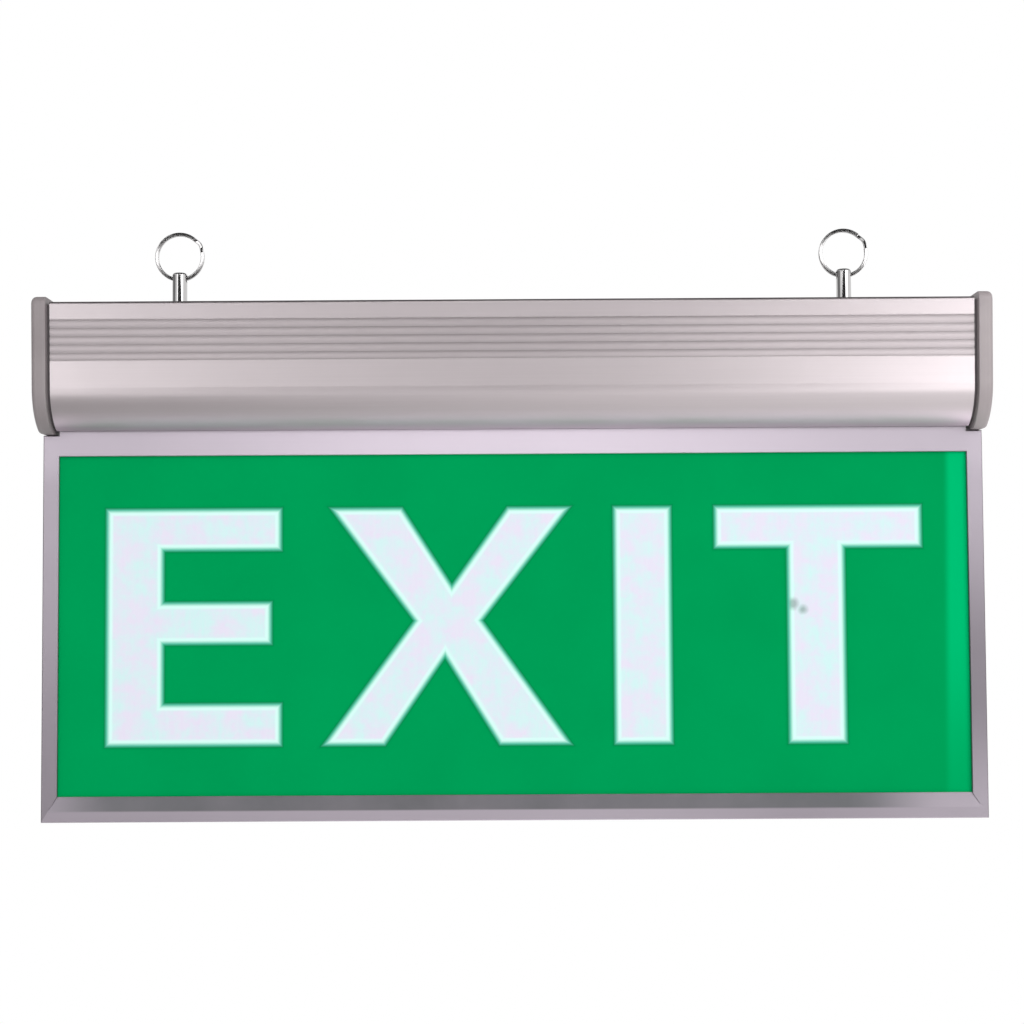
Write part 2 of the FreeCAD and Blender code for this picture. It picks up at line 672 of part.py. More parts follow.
def frame_screw(x, z, way):
    profile = [
        (0.0, FRAME_SCREW_SUNK), (FRAME_SCREW_HEAD, FRAME_SCREW_SUNK),
        (FRAME_SCREW_RADIUS, FRAME_SCREW_SUNK + FRAME_SCREW_CONE),
        (FRAME_SCREW_RADIUS, FRAME_SCREW_LENGTH), (0.0, FRAME_SCREW_LENGTH),
    ]
    return turned(profile, Vector(x, 0, z), way, Y_AXIS)


def corner_key(side, level):
    """An L of flat bar inside a frame corner; level is 1 at the top and -1 at the bottom."""
    corner_x = side * (FRAME_HALF_WIDTH - FRAME_WALL)
    corner_z = FRAME_TOP_Z - FRAME_WALL if level > 0 else FRAME_BOTTOM_Z + FRAME_WALL
    edge = [(0.0, 0.0), (KEY_LEG, 0.0), (KEY_LEG, KEY_THICKNESS), (KEY_THICKNESS, KEY_THICKNESS),
            (KEY_THICKNESS, KEY_LEG), (0.0, KEY_LEG)]

    def place(point):
        return Vector(corner_x - side * point[0], -KEY_HALF_DEPTH, corner_z - level * point[1])

    key = closed_face(edge[0], edge[1:], place).extrude(Y_AXIS * 2 * KEY_HALF_DEPTH)
    for x, z, way in frame_screw_places():
        key = key.cut(rod(FRAME_SCREW_RADIUS + 0.02, Vector(x, 0, z), way, 5.0))
    return key


def corner_keys():
    return [corner_key(side, level) for side in (-1, 1) for level in (-1, 1)]


# ---- panel stack --------------------------------------------------------------------------------
def sheet(front_y, thickness, top_z):
    width = (-STACK_HALF_WIDTH, STACK_HALF_WIDTH)
    return block(width, (front_y, front_y + thickness), (STACK_BOTTOM_Z, top_z))


def legend_sheet():
    return sheet(-STACK_HALF_DEPTH, LEGEND_THICKNESS, GUIDE_TOP_Z)


def light_guide():
    return sheet(-STACK_HALF_DEPTH + LEGEND_THICKNESS, GUIDE_THICKNESS, GUIDE_TOP_Z)


def reflector_sheet():
    return sheet(-STACK_HALF_DEPTH + LEGEND_THICKNESS + GUIDE_THICKNESS, REFLECTOR_THICKNESS, GUIDE_TOP_Z)


def back_plate():
    front_y = -STACK_HALF_DEPTH + LEGEND_THICKNESS + GUIDE_THICKNESS + REFLECTOR_THICKNESS
    return sheet(front_y, STACK_HALF_DEPTH - front_y, GUIDE_TOP_Z)


def led_board():
    """A metal-cored strip held flat under the top bar's wall."""
    top_z = FRAME_TOP_Z - FRAME_WALL
    return block(
        (-LED_BOARD_HALF_LENGTH, LED_BOARD_HALF_LENGTH), (-2.7, 2.7), (top_z - LED_BOARD_THICKNESS, top_z)
    )


def led_chips():
    """Surface-mount emitters evenly spaced under the strip, each with a shallow dished window."""
    top_z = FRAME_TOP_Z - FRAME_WALL - LED_BOARD_THICKNESS
    pitch = 2 * LED_BOARD_HALF_LENGTH / LED_COUNT
    chips = []
    for index in range(LED_COUNT):
        x = -LED_BOARD_HALF_LENGTH + (index + 0.5) * pitch
        chip = block((x - 1.75, x + 1.75), (-1.4, 1.4), (top_z - LED_HEIGHT, top_z))
        window = block((x - 1.2, x + 1.2), (-1.0, 1.0), (top_z - LED_HEIGHT, top_z - LED_HEIGHT + 0.25))
        chips.append(chip.cut(window))
    return chips


# ---- gear tray, battery and cable clamp ---------------------------------------------------------
def edge_near(shape, point):
    return min(shape.Edges, key=lambda e: e.CenterOfMass.distanceToPoint(point))


def gear_tray():
    """A folded sheet tray that slides along the housing's ledges, with an upstand at each end."""
    upstand = 8.0
    bend = 2.0
    relief = 3.2
    width = (-TRAY_HALF_WIDTH, TRAY_HALF_WIDTH)
    height = (TRAY_BOTTOM_Z, TRAY_BOTTOM_Z + upstand)
    tray = joined([
        block((TRAY_START_X, TRAY_END_X), width, (TRAY_BOTTOM_Z, TRAY_TOP_Z)),
        block((TRAY_START_X, TRAY_START_X + TRAY_THICKNESS), width, height),
        block((TRAY_END_X - TRAY_THICKNESS, TRAY_END_X), width, height),
    ])
    for x, inward in ((TRAY_START_X, 1), (TRAY_END_X, -1)):
        tray = tray.makeFillet(bend, [edge_near(tray, Vector(x, 0, TRAY_BOTTOM_Z))])
        inner = Vector(x + inward * TRAY_THICKNESS, 0, TRAY_TOP_Z)
        tray = tray.makeFillet(bend - TRAY_THICKNESS, [edge_near(tray, inner)])
        notch_x = tuple(sorted((x, x + inward * (bend + 0.6))))
        for low, high in ((width[0], width[0] + relief), (width[1] - relief, width[1])):
            tray = tray.cut(block(notch_x, (low, high), height))
    return tray


def battery_pack():
    """Three cells end to end in one shrink sleeve, which draws in over each joint and both ends."""
    rounding = 1.2
    waist = 0.5
    profile = [(0.0, 0.0), (CELL_RADIUS - rounding, 0.0)]
    for index in range(CELL_COUNT):
        start = index * CELL_LENGTH
        profile.append((CELL_RADIUS - waist, start + 0.4))
        profile.append((CELL_RADIUS, start + rounding))
        profile.append((CELL_RADIUS, start + CELL_LENGTH - rounding))
        profile.append((CELL_RADIUS - waist, start + CELL_LENGTH - 0.4))
    profile.append((CELL_RADIUS - rounding, CELL_COUNT * CELL_LENGTH))
    profile.append((0.0, CELL_COUNT * CELL_LENGTH))
    return turned(profile, Vector(BATTERY_START_X, 0, BATTERY_Z), X_AXIS, Y_AXIS)


def battery_clips():
    """Spring-steel clips: an open ring that grips the pack, on a foot that is riveted to the tray."""
    inner = CELL_RADIUS + 0.05
    thickness = 0.8
    width = 8.0
    clips = []
    for centre_x in BATTERY_CLIP_X:
        start = Vector(centre_x - width / 2, 0, BATTERY_Z)
        ring = rod(inner + thickness, start, X_AXIS, width)
        span = (centre_x - width / 2, centre_x + width / 2)
        foot = block(span, (-6.0, 6.0), (TRAY_TOP_Z, TRAY_TOP_Z + thickness))
        mouth = block(span, (-4.8, 4.8), (BATTERY_Z, BATTERY_Z + 2 * CELL_RADIUS))
        clips.append(ring.fuse(foot).cut(rod(inner, start, X_AXIS, width)).cut(mouth).removeSplitter())
    return clips


def clamp_groove():
    return rod(CABLE_RADIUS, Vector(CLAMP_X[0] - 1, 0, CLAMP_SPLIT_Z), X_AXIS, 12)


def cable_clamp_base():
    base = rounded_block(CLAMP_X, (-11.0, 11.0), (TRAY_TOP_Z, CLAMP_SPLIT_Z - 0.2), 1.2, Z_AXIS)
    middle_x = sum(CLAMP_X) / 2
    for y in CLAMP_SCREW_Y:
        base = base.cut(rod(1.25, Vector(middle_x, y, TRAY_TOP_Z + 0.5), Z_AXIS, 10))
    return base.cut(clamp_groove())


def cable_clamp_bar():
    bar = rounded_block(CLAMP_X, (-11.0, 11.0), (CLAMP_SPLIT_Z + 0.2, CLAMP_TOP_Z), 1.2, Z_AXIS)
    middle_x = sum(CLAMP_X) / 2
    for y in CLAMP_SCREW_Y:
        bar = bar.cut(rod(1.6, Vector(middle_x, y, CLAMP_SPLIT_Z - 1), Z_AXIS, 10))
    return bar.cut(clamp_groove())


def pan_screw(head_base, axis, side, shank_radius, shank_length):
    """A small pan-head screw driven against its axis, with a slot across its head."""
    head_radius = 2 * shank_radius
    head_height = 1.5 * shank_radius
    profile = [
        (0.0, -shank_length), (shank_radius, -shank_length), (shank_radius, 0.0),
        (head_radius, 0.0), (head_radius, 0.6 * head_height), (0.7 * head_radius, head_height),
        (0.0, head_height),
    ]
    screw = turned(profile, head_base, axis, side)
    across = axis.cross(side)
    low = head_base + axis * (0.5 * head_height) - side * 0.25 - across * head_radius
    corners = [low, low + side * 0.5, low + side * 0.5 + across * 2 * head_radius]
    corners += [low + across * 2 * head_radius, low]
    return screw.cut(Part.Face(Part.makePolygon(corners)).extrude(axis * head_height))


def clamp_screws():
    middle_x = sum(CLAMP_X) / 2
    return [pan_screw(Vector(middle_x, y, CLAMP_TOP_Z), Z_AXIS, Y_AXIS, 1.2, 6.5) for y in CLAMP_SCREW_Y]


def cable_grommet():
    """A rubber grommet snapped into the housing's top, with a lead-in at both ends of its bore."""
    bore = GROMMET_BORE_RADIUS
    mouth = bore + GROMMET_LEAD_IN
    neck = GROMMET_HOLE_RADIUS - 0.05
    flange = GROMMET_FLANGE_RADIUS
    top = GROMMET_FLANGE_HEIGHT
    profile = [
        (bore, top - GROMMET_LEAD_IN), (mouth, top), (flange - 0.4, top), (flange, top - 0.4),
        (flange, 0.0), (neck, 0.0), (neck, -WALL), (GROMMET_BARB_RADIUS, -WALL),
        (GROMMET_BARB_TIP_RADIUS, GROMMET_BOTTOM_Z), (mouth, GROMMET_BOTTOM_Z),
        (bore, GROMMET_BOTTOM_Z + GROMMET_LEAD_IN),
    ]
    return turned(profile, Vector(GROMMET_X, 0, 0), Z_AXIS, X_AXIS)


# ---- driver board -------------------------------------------------------------------------------
def standoff_places():
    inset = 4.0
    ends = (DRIVER_START_X + inset, DRIVER_START_X + DRIVER_LENGTH - inset)
    return [(x, side * (DRIVER_HALF_WIDTH - 3.0)) for x in ends for side in (-1, 1)]


def driver_board():
    board = block(
        (DRIVER_START_X, DRIVER_START_X + DRIVER_LENGTH),
        (-DRIVER_HALF_WIDTH, DRIVER_HALF_WIDTH),
        (DRIVER_TOP_Z - BOARD_THICKNESS, DRIVER_TOP_Z),
    )
    for x, y in standoff_places():
        board = board.cut(rod(1.4, Vector(x, y, DRIVER_TOP_Z - 5), Z_AXIS, 10))
    return board


def board_standoffs():
    posts = []
    for x, y in standoff_places():
        post = rod(2.5, Vector(x, y, TRAY_TOP_Z), Z_AXIS, STANDOFF_HEIGHT)
        posts.append(post.cut(rod(1.25, Vector(x, y, TRAY_TOP_Z), Z_AXIS, STANDOFF_HEIGHT)))
    return posts


def board_screws():
    return [pan_screw(Vector(x, y, DRIVER_TOP_Z), Z_AXIS, Y_AXIS, 1.2, 5.0) for x, y in standoff_places()]


def terminal_ways():
    return (-TERMINAL_PITCH, 0.0, TERMINAL_PITCH)


def terminal_block():
    """A three-way block: sloped front with wire funnels, and a shaft over each clamping screw."""
    half = 1.5 * TERMINAL_PITCH
    low_x, high_x = TERMINAL_X
    top = DRIVER_TOP_Z + TERMINAL_HEIGHT
    outline = [(low_x, DRIVER_TOP_Z), (high_x, DRIVER_TOP_Z), (high_x, top), (low_x + 3.5, top),
               (low_x, DRIVER_TOP_Z + 7.0)]
    body = closed_face(outline[0], outline[1:], lambda p: Vector(p[0], -half, p[1]))
    body = body.extrude(Y_AXIS * 2 * half)
    for y in terminal_ways():
        funnel = Part.makeCone(2.4, 1.5, 2.5, Vector(low_x - 0.5, y, DRIVER_TOP_Z + 3.6), X_AXIS)
        throat = rod(1.5, Vector(low_x, y, DRIVER_TOP_Z + 3.6), X_AXIS, 7.0)
        shaft = rod(2.1, Vector(TERMINAL_SCREW_X, y, DRIVER_TOP_Z + 6.0), Z_AXIS, 10)
        body = body.cut(funnel.fuse([throat, shaft]))
    return body


def terminal_screws():
    top = DRIVER_TOP_Z + TERMINAL_HEIGHT - 3.0
    screws = []
    for y in terminal_ways():
        screw = rod(1.9, Vector(TERMINAL_SCREW_X, y, DRIVER_TOP_Z + 6.0), Z_AXIS, TERMINAL_HEIGHT - 9.0)
        slot = block((TERMINAL_SCREW_X - 2, TERMINAL_SCREW_X + 2), (y - 0.3, y + 0.3), (top - 0.8, top))
        screws.append(screw.cut(slot))
    return screws


def film_capacitor():
    x = (DRIVER_START_X + 24.0, DRIVER_START_X + 42.0)
    return rounded_block(x, (4.0, 11.0), (DRIVER_TOP_Z, DRIVER_TOP_Z + 12.0), 0.8, Z_AXIS)


def line_fuse():
    """A cartridge fuse: a glass tube between two metal end caps, lying along the board."""
    profile = [(0.0, 0.0), (2.6, 0.0), (2.6, 5.0), (2.4, 5.0), (2.4, 15.0), (2.6, 15.0), (2.6, 20.0),
               (0.0, 20.0)]
    return turned(profile, Vector(FUSE_START_X, FUSE_Y, FUSE_Z), X_AXIS, Y_AXIS)


def fuse_clips():
    """Two spring clips soldered to the board, each gripping one cap of the fuse."""
    clips = []
    for start_x in (FUSE_START_X + 0.5, FUSE_START_X + 15.5):
        span = (start_x, start_x + 4.0)
        body = block(span, (FUSE_Y - 3.3, FUSE_Y + 3.3), (DRIVER_TOP_Z, FUSE_Z + 1.5))
        cradle = rod(2.65, Vector(start_x - 1, FUSE_Y, FUSE_Z), X_AXIS, 6)
        mouth = block(span, (FUSE_Y - 2.2, FUSE_Y + 2.2), (FUSE_Z, FUSE_Z + 3))
        clips.append(body.cut(cradle).cut(mouth))
    return clips


def transformer_core():
    """Two ferrite halves glued face to face: an outer frame round a centre leg."""
    half_x = 10.0
    half_y = 3.2
    bottom = DRIVER_TOP_Z + 1.2
    height = 16.0
    x = (TRANSFORMER_X - half_x, TRANSFORMER_X + half_x)
    core = rounded_block(x, (-half_y, half_y), (bottom, bottom + height), 0.6, Y_AXIS)
    window_z = (bottom + 3.2, bottom + height - 3.2)
    for side in (-1, 1):
        window_x = tuple(sorted((TRANSFORMER_X + side * 2.8, TRANSFORMER_X + side * 7.0)))
        core = core.cut(block(window_x, (-half_y, half_y), window_z))
    return core


def transformer_winding():
    """The taped winding on its former, filling the core's windows and bulging out at both sides."""
    bottom = DRIVER_TOP_Z + 1.2 + 3.4
    height = 9.2
    x = (TRANSFORMER_X - 6.8, TRANSFORMER_X + 6.8)
    winding = rounded_block(x, (-8.2, 8.2), (bottom, bottom + height), 4.0, Z_AXIS)
    inner = block((TRANSFORMER_X - 2.9, TRANSFORMER_X + 2.9), (-3.3, 3.3), (bottom, bottom + height))
    foot_z = (DRIVER_TOP_Z, bottom + 0.6)
    feet = [
        block((TRANSFORMER_X - 6.0, TRANSFORMER_X + 6.0), (3.5, 7.5), foot_z),
        block((TRANSFORMER_X - 6.0, TRANSFORMER_X + 6.0), (-7.5, -3.5), foot_z),
    ]
    return winding.cut(inner).fuse(feet).removeSplitter()


def smoothing_capacitors():
    """Electrolytic cans: rolled-in top, vent cross, and the crimp groove near the foot."""
    radius = 5.0
    height = 14.0
    cans = []
    for y in (-6.6, 6.6):
        profile = [
            (0.0, 0.0), (radius - 0.5, 0.0), (radius, 0.5), (radius, 1.6), (radius - 0.5, 2.2),
            (radius, 2.8), (radius, height - 0.6), (radius - 0.6, height), (radius - 1.2, height - 0.3),
            (0.0, height - 0.3),
        ]
        cans.append(turned(profile, Vector(CAPACITOR_X, y, DRIVER_TOP_Z), Z_AXIS, X_AXIS))
    return cans


def control_chip():
    """The controller in its moulded case, with four gull-wing legs on each side."""
    x = CHIP_X
    body = block((x - 2.5, x + 2.5), (-2.0, 2.0), (DRIVER_TOP_Z + 0.2, DRIVER_TOP_Z + 1.7))
    for index in range(4):
        leg_x = x - 1.9 + index * 1.27
        span = (leg_x - 0.2, leg_x + 0.2)
        for side in (-1, 1):
            shoulder = tuple(sorted((side * 1.9, side * 2.6)))
            foot = tuple(sorted((side * 2.4, side * 3.2)))
            body = body.fuse(block(span, shoulder, (DRIVER_TOP_Z + 0.8, DRIVER_TOP_Z + 1.0)))
            body = body.fuse(block(span, tuple(sorted((side * 2.4, side * 2.6))),
                                   (DRIVER_TOP_Z, DRIVER_TOP_Z + 1.0)))
            body = body.fuse(block(span, foot, (DRIVER_TOP_Z, DRIVER_TOP_Z + 0.2)))
    return body.removeSplitter()


def lead_plugs():
    """Board headers with their plugs pushed in, for the battery, the lamp strip and the test switch."""
    plugs = []
    for y in (-9.0, 0.0, 9.0):
        header = block((PLUG_X - 3, PLUG_X + 3), (y - 3.4, y + 3.4), (DRIVER_TOP_Z, DRIVER_TOP_Z + 6.0))
        well = block((PLUG_X - 2.2, PLUG_X + 2.2), (y - 2.6, y + 2.6), (DRIVER_TOP_Z + 5.0, DRIVER_TOP_Z + 9))
        plug = block((PLUG_X - 2.0, PLUG_X + 2.0), (y - 2.4, y + 2.4), (DRIVER_TOP_Z + 4.0, DRIVER_TOP_Z + 7.5))
        plugs.append(header.cut(well).fuse(plug).removeSplitter())
    return plugs


# ---- test switch and indicators -----------------------------------------------------------------
def switch_board():
    board = block(
        (SWITCH_BOARD_X, SWITCH_BOARD_X + BOARD_THICKNESS), (-12.0, 12.0), (BUTTON_Z - 4.5, INDICATOR_Z + 4)
    )
    for y in (-POST_Y, POST_Y):
        board = board.cut(rod(1.0, Vector(SWITCH_BOARD_X - 1, y, POST_Z), X_AXIS, 5))
    return board


def switch_board_screws():
    heads = [Vector(SWITCH_BOARD_X, y, POST_Z) for y in (-POST_Y, POST_Y)]
    return [pan_screw(head, -X_AXIS, Y_AXIS, 0.85, 6.5) for head in heads]


def switch_body():
    """The push switch on its board, bored for its plunger."""
    face_x = SWITCH_BOARD_X + BOARD_THICKNESS
    body = block((face_x, SWITCH_FACE_X), (-3.0, 3.0), (BUTTON_Z - 3.0, BUTTON_Z + 3.0))
    return body.cut(rod(PLUNGER_RADIUS + 0.2, Vector(face_x + 0.6, 0, BUTTON_Z), X_AXIS, 10))


def switch_plunger():
    return rod(PLUNGER_RADIUS, Vector(PLUNGER_TAIL_X, 0, BUTTON_Z), X_AXIS, BUTTON_STEM_X - PLUNGER_TAIL_X)


def test_button():
    """The button in the right cap: dished face, sliding barrel, retaining flange and stem."""
    flange_x = CAP_FACE_INNER_X - 0.1
    face_x = CAP_END_X - 0.3
    profile = [
        (0.0, BUTTON_STEM_X), (1.6, BUTTON_STEM_X), (1.6, flange_x - 1.2), (3.9, flange_x - 1.2),
        (3.9, flange_x), (BUTTON_RADIUS, flange_x), (BUTTON_RADIUS, face_x - 0.4),
        (BUTTON_RADIUS - 0.4, face_x), (BUTTON_RADIUS - 0.9, face_x), (0.0, face_x - 0.3),
    ]
    return turned(profile, Vector(0, 0, BUTTON_Z), X_AXIS, Y_AXIS)


def indicator(y):
    """A domed indicator lamp behind the right cap's face, on two legs from the board."""
    flange_x = CAP_FACE_INNER_X - 1.6
    dome_x = CAP_END_X - 0.2 - INDICATOR_RADIUS
    quarter = math.sqrt(0.5) * INDICATOR_RADIUS
    profile = [
        (0.0, flange_x), (INDICATOR_RADIUS + 0.4, flange_x), (INDICATOR_RADIUS + 0.4, flange_x + 1.0),
        (INDICATOR_RADIUS, flange_x + 1.0), (INDICATOR_RADIUS, dome_x),
        ((quarter, dome_x + quarter), (0.0, dome_x + INDICATOR_RADIUS)),
    ]
    lamp = turned(profile, Vector(0, y, INDICATOR_Z), X_AXIS, Y_AXIS)
    legs_x = (SWITCH_BOARD_X + BOARD_THICKNESS, flange_x)
    legs = [block(legs_x, (y + offset - 0.25, y + offset + 0.25), (INDICATOR_Z - 0.25, INDICATOR_Z + 0.25))
            for offset in (-1.27, 1.27)]
    return lamp.fuse(legs).removeSplitter()


# ---- write the parts ----------------------------------------------------------------------------
PARTS = {
    "housing_shell": housing_shell,
    "end_cap_left": end_cap_left,
    "end_cap_right": end_cap_right,
    "cap_screws_left": lambda: group([s.mirror(ORIGIN, X_AXIS) for s in cap_screws()]),
    "cap_screws_right": lambda: group(cap_screws()),
    "hanging_stud_left": lambda: hanging_stud(-STUD_X),
    "hanging_stud_right": lambda: hanging_stud(STUD_X),
    "stud_washers": lambda: group([stud_washer(x) for x in (-STUD_X, STUD_X)]),
    "stud_nuts": lambda: group([stud_nut(x) for x in (-STUD_X, STUD_X)]),
    "ring_left": lambda: split_ring(-STUD_X),
    "ring_right": lambda: split_ring(STUD_X),
    "frame_top_bar": frame_top_bar,
    "frame_left_bar": lambda: frame_side_bar(-1),
    "frame_right_bar": lambda: frame_side_bar(1),
    "frame_bottom_bar": frame_bottom_bar,
    "corner_keys": lambda: group(corner_keys()),
    "frame_screws": lambda: group([frame_screw(*place) for place in frame_screw_places()]),
    "legend_sheet": legend_sheet,
    "light_guide": light_guide,
    "reflector_sheet": reflector_sheet,
    "back_plate": back_plate,
    "led_board": led_board,
    "led_chips": lambda: group(led_chips()),
    "gear_tray": gear_tray,
    "battery_pack": battery_pack,
    "battery_clips": lambda: group(battery_clips()),
    "cable_grommet": cable_grommet,
    "cable_clamp_base": cable_clamp_base,
    "cable_clamp_bar": cable_clamp_bar,
    "clamp_screws": lambda: group(clamp_screws()),
    "driver_board": driver_board,
    "board_standoffs": lambda: group(board_standoffs()),
    "board_screws": lambda: group(board_screws()),
    "terminal_block": terminal_block,
    "terminal_screws": lambda: group(terminal_screws()),
    "film_capacitor": film_capacitor,
    "line_fuse": line_fuse,
    "fuse_clips": lambda: group(fuse_clips()),
    "transformer_core": transformer_core,
    "transformer_winding": transformer_winding,
    "smoothing_capacitors": lambda: group(smoothing_capacitors()),
    "control_chip": control_chip,
    "lead_plugs": lambda: group(lead_plugs()),
    "switch_board": switch_board,
    "switch_board_screws": lambda: group(switch_board_screws()),
    "switch_body": switch_body,
    "switch_plunger": switch_plunger,
    "test_button": test_button,
    "indicator_mains": lambda: indicator(-INDICATOR_Y),
    "indicator_fault": lambda: indicator(INDICATOR_Y),
}

os.makedirs("parts", exist_ok=True)
for name, build in PARTS.items():
    shape = build()
    shape.exportStep(f"parts/{name}.step")
    print(name, len(shape.Solids), "valid" if shape.isValid() else "NOT VALID", round(shape.Volume))
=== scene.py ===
# %% [markdown]
# # A hanging emergency exit light
#
# The real light is an aluminium extrusion with a moulded cap at each end. Two polished studs with split rings
# carry it, and a framed sheet of acrylic with a green legend hangs in its slot. The construction comes ready
# made as the frame, in metres, with its origin on the housing's flat top between the studs. This lesson gives
# every piece its finish and adds what is too thin or too small for the construction: the printed letters and
# the cross slots of the frame's little screws.

# %% Load the frame
import math

import bmesh
import bpy
from mathutils import Euler, Matrix, Vector


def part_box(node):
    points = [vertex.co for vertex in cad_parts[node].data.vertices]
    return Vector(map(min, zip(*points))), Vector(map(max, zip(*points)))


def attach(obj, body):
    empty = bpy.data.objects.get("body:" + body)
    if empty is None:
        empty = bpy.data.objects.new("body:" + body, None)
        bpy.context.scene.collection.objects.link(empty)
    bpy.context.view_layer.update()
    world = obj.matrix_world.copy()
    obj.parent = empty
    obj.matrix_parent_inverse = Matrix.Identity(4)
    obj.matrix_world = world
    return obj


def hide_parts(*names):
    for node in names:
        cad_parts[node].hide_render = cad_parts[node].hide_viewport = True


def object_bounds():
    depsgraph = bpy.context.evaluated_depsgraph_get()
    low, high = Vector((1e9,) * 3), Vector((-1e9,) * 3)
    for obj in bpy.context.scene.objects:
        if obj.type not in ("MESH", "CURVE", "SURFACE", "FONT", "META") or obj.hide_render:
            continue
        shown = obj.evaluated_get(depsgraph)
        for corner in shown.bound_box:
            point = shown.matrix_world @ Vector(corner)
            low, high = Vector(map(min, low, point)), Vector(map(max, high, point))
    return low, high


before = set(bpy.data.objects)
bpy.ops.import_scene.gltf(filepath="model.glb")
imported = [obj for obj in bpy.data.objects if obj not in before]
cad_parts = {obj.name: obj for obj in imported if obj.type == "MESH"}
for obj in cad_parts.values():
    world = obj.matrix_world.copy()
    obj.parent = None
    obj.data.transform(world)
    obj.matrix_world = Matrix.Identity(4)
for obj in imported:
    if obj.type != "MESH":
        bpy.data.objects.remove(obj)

MM = 0.001
CAD_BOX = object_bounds()
scene = bpy.context.scene
scene.view_settings.view_transform = "Standard"
frame_size = [round(length, 4) for length in CAD_BOX[1] - CAD_BOX[0]]
print("the frame has", len(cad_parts), "pieces and is", frame_size, "m")

# %% [markdown]
# ## The camera
#
# The light is seen nearly square from the front, from 0.7 m away and a little below the middle, so the camera
# looks slightly up. A long lens keeps the edges straight and shows almost nothing of the underside. The
# camera leans by a third of a degree, which makes the long edges rise a little to the right.

# %% The camera
EYE = Vector((1, -699, -115)) * MM
LOOK_UP = math.radians(2.945)
TURN_LEFT = math.radians(0.11)
LEAN = math.radians(-0.33)
LENS = 64.3

camera = bpy.data.objects.new("camera", bpy.data.cameras.new("camera"))
scene.collection.objects.link(camera)
camera.data.lens = LENS
camera.data.sensor_width = 36
upright = Euler((math.radians(90) + LOOK_UP, 0, TURN_LEFT)).to_matrix().to_4x4()
camera.matrix_world = Matrix.Translation(EYE) @ upright @ Matrix.Rotation(LEAN, 4, "Z")
scene.camera = camera
print("the camera is", round(-EYE.y, 3), "m in front of the light, with a", LENS, "mm lens")

# %% [markdown]
# ## Building shader nodes
#
# Every finish below is a small net of shader nodes. Writing each node by hand takes many lines, so one helper
# adds a node, sets it up, and either types a value into each of its sockets or draws a wire to it.


# %% A helper for shader nodes
def add(tree, kind, inputs=None, **settings):
    """Adds one node. inputs gives each socket, by name or number, a value or another node's output."""
    node = tree.nodes.new(kind)
    for name, value in settings.items():
        setattr(node, name, value)
    for name, value in (inputs or {}).items():
        if isinstance(value, bpy.types.NodeSocket):
            tree.links.new(value, node.inputs[name])
        else:
            node.inputs[name].default_value = value
    return node


def math_node(tree, operation, first, second=0.0, clamp=False):
    return add(tree, "ShaderNodeMath", {0: first, 1: second}, operation=operation, use_clamp=clamp).outputs[0]


def product(tree, first, second):
    return math_node(tree, "MULTIPLY", first, second)


def mix_colours(tree, factor, first, second):
    """The colour between first and second. Sockets 6 and 7 and output 2 are the Mix node's colours."""
    node = add(tree, "ShaderNodeMix", data_type="RGBA")
    for socket, value in ((node.inputs[0], factor), (node.inputs[6], first), (node.inputs[7], second)):
        if isinstance(value, bpy.types.NodeSocket):
            tree.links.new(value, socket)
        elif isinstance(value, (int, float)):
            socket.default_value = value
        else:
            socket.default_value = (*value, 1)
    return node.outputs[2]


def scaled(tree, value, low, high):
    """Stretches a value that runs from 0 to 1, so that it runs from low to high."""
    return add(tree, "ShaderNodeMapRange", {"Value": value, "To Min": low, "To Max": high}).outputs["Result"]


def smooth_share(tree, value, start, end):
    """0 where the value is at start, 1 where it is at end, and a smooth change between them."""
    inputs = {"Value": value, "From Min": start, "From Max": end}
    return add(tree, "ShaderNodeMapRange", inputs, interpolation_type="SMOOTHSTEP").outputs["Result"]


print("helpers ready")

# %% [markdown]
# ## The studio
#
# The background is plain white. The world is white where the camera, a reflection or a clear piece looks at
# it, and only a soft pale light for everything else, so the white costs no extra light on the object. Two
# broad soft boxes stand in front, left and right, with the camera looking through the gap between them. They
# brighten both ends of the housing and leave its middle calmer.


# %% White where it is seen
def seen(tree):
    """1 on camera, glossy and transmission rays, and 0 on the rays that only carry light."""
    path = add(tree, "ShaderNodeLightPath")
    either = math_node(tree, "MAXIMUM", path.outputs["Is Camera Ray"], path.outputs["Is Glossy Ray"])
    return math_node(tree, "MAXIMUM", either, path.outputs["Is Transmission Ray"])


SOFT_LIGHT = 0.50
SOFT_TINT = (1, 0.985, 0.99, 1)

world = bpy.data.worlds.new("white_studio")
world.use_nodes = True
tree = world.node_tree
tree.nodes.clear()
shown = add(tree, "ShaderNodeBackground", {"Color": (1, 1, 1, 1), "Strength": 1.0})
soft = add(tree, "ShaderNodeBackground", {"Color": SOFT_TINT, "Strength": SOFT_LIGHT})
both = add(tree, "ShaderNodeMixShader", {0: seen(tree), 1: soft.outputs[0], 2: shown.outputs[0]})
add(tree, "ShaderNodeOutputWorld", {"Surface": both.outputs[0]})
scene.world = world
print("the world is white, with a soft light of", SOFT_LIGHT)

# %% [markdown]
# The light hangs high over a plain pale floor. The floor is a plane far below, and its shader mixes a pale
# matt surface, which keeps the object's soft shadow, with the same white as the background.

# %% The floor
FLOOR_Z = -1.5
FLOOR_SIZE = 10.0
FLOOR_GREY = (0.82, 0.82, 0.82, 1)
FLOOR_WHITE_SHARE = 0.9


def new_material(name):
    """An empty material: its name, its node tree and nothing else yet."""
    material = bpy.data.materials.new(name)
    material.use_nodes = True
    material.node_tree.nodes.clear()
    return material, material.node_tree


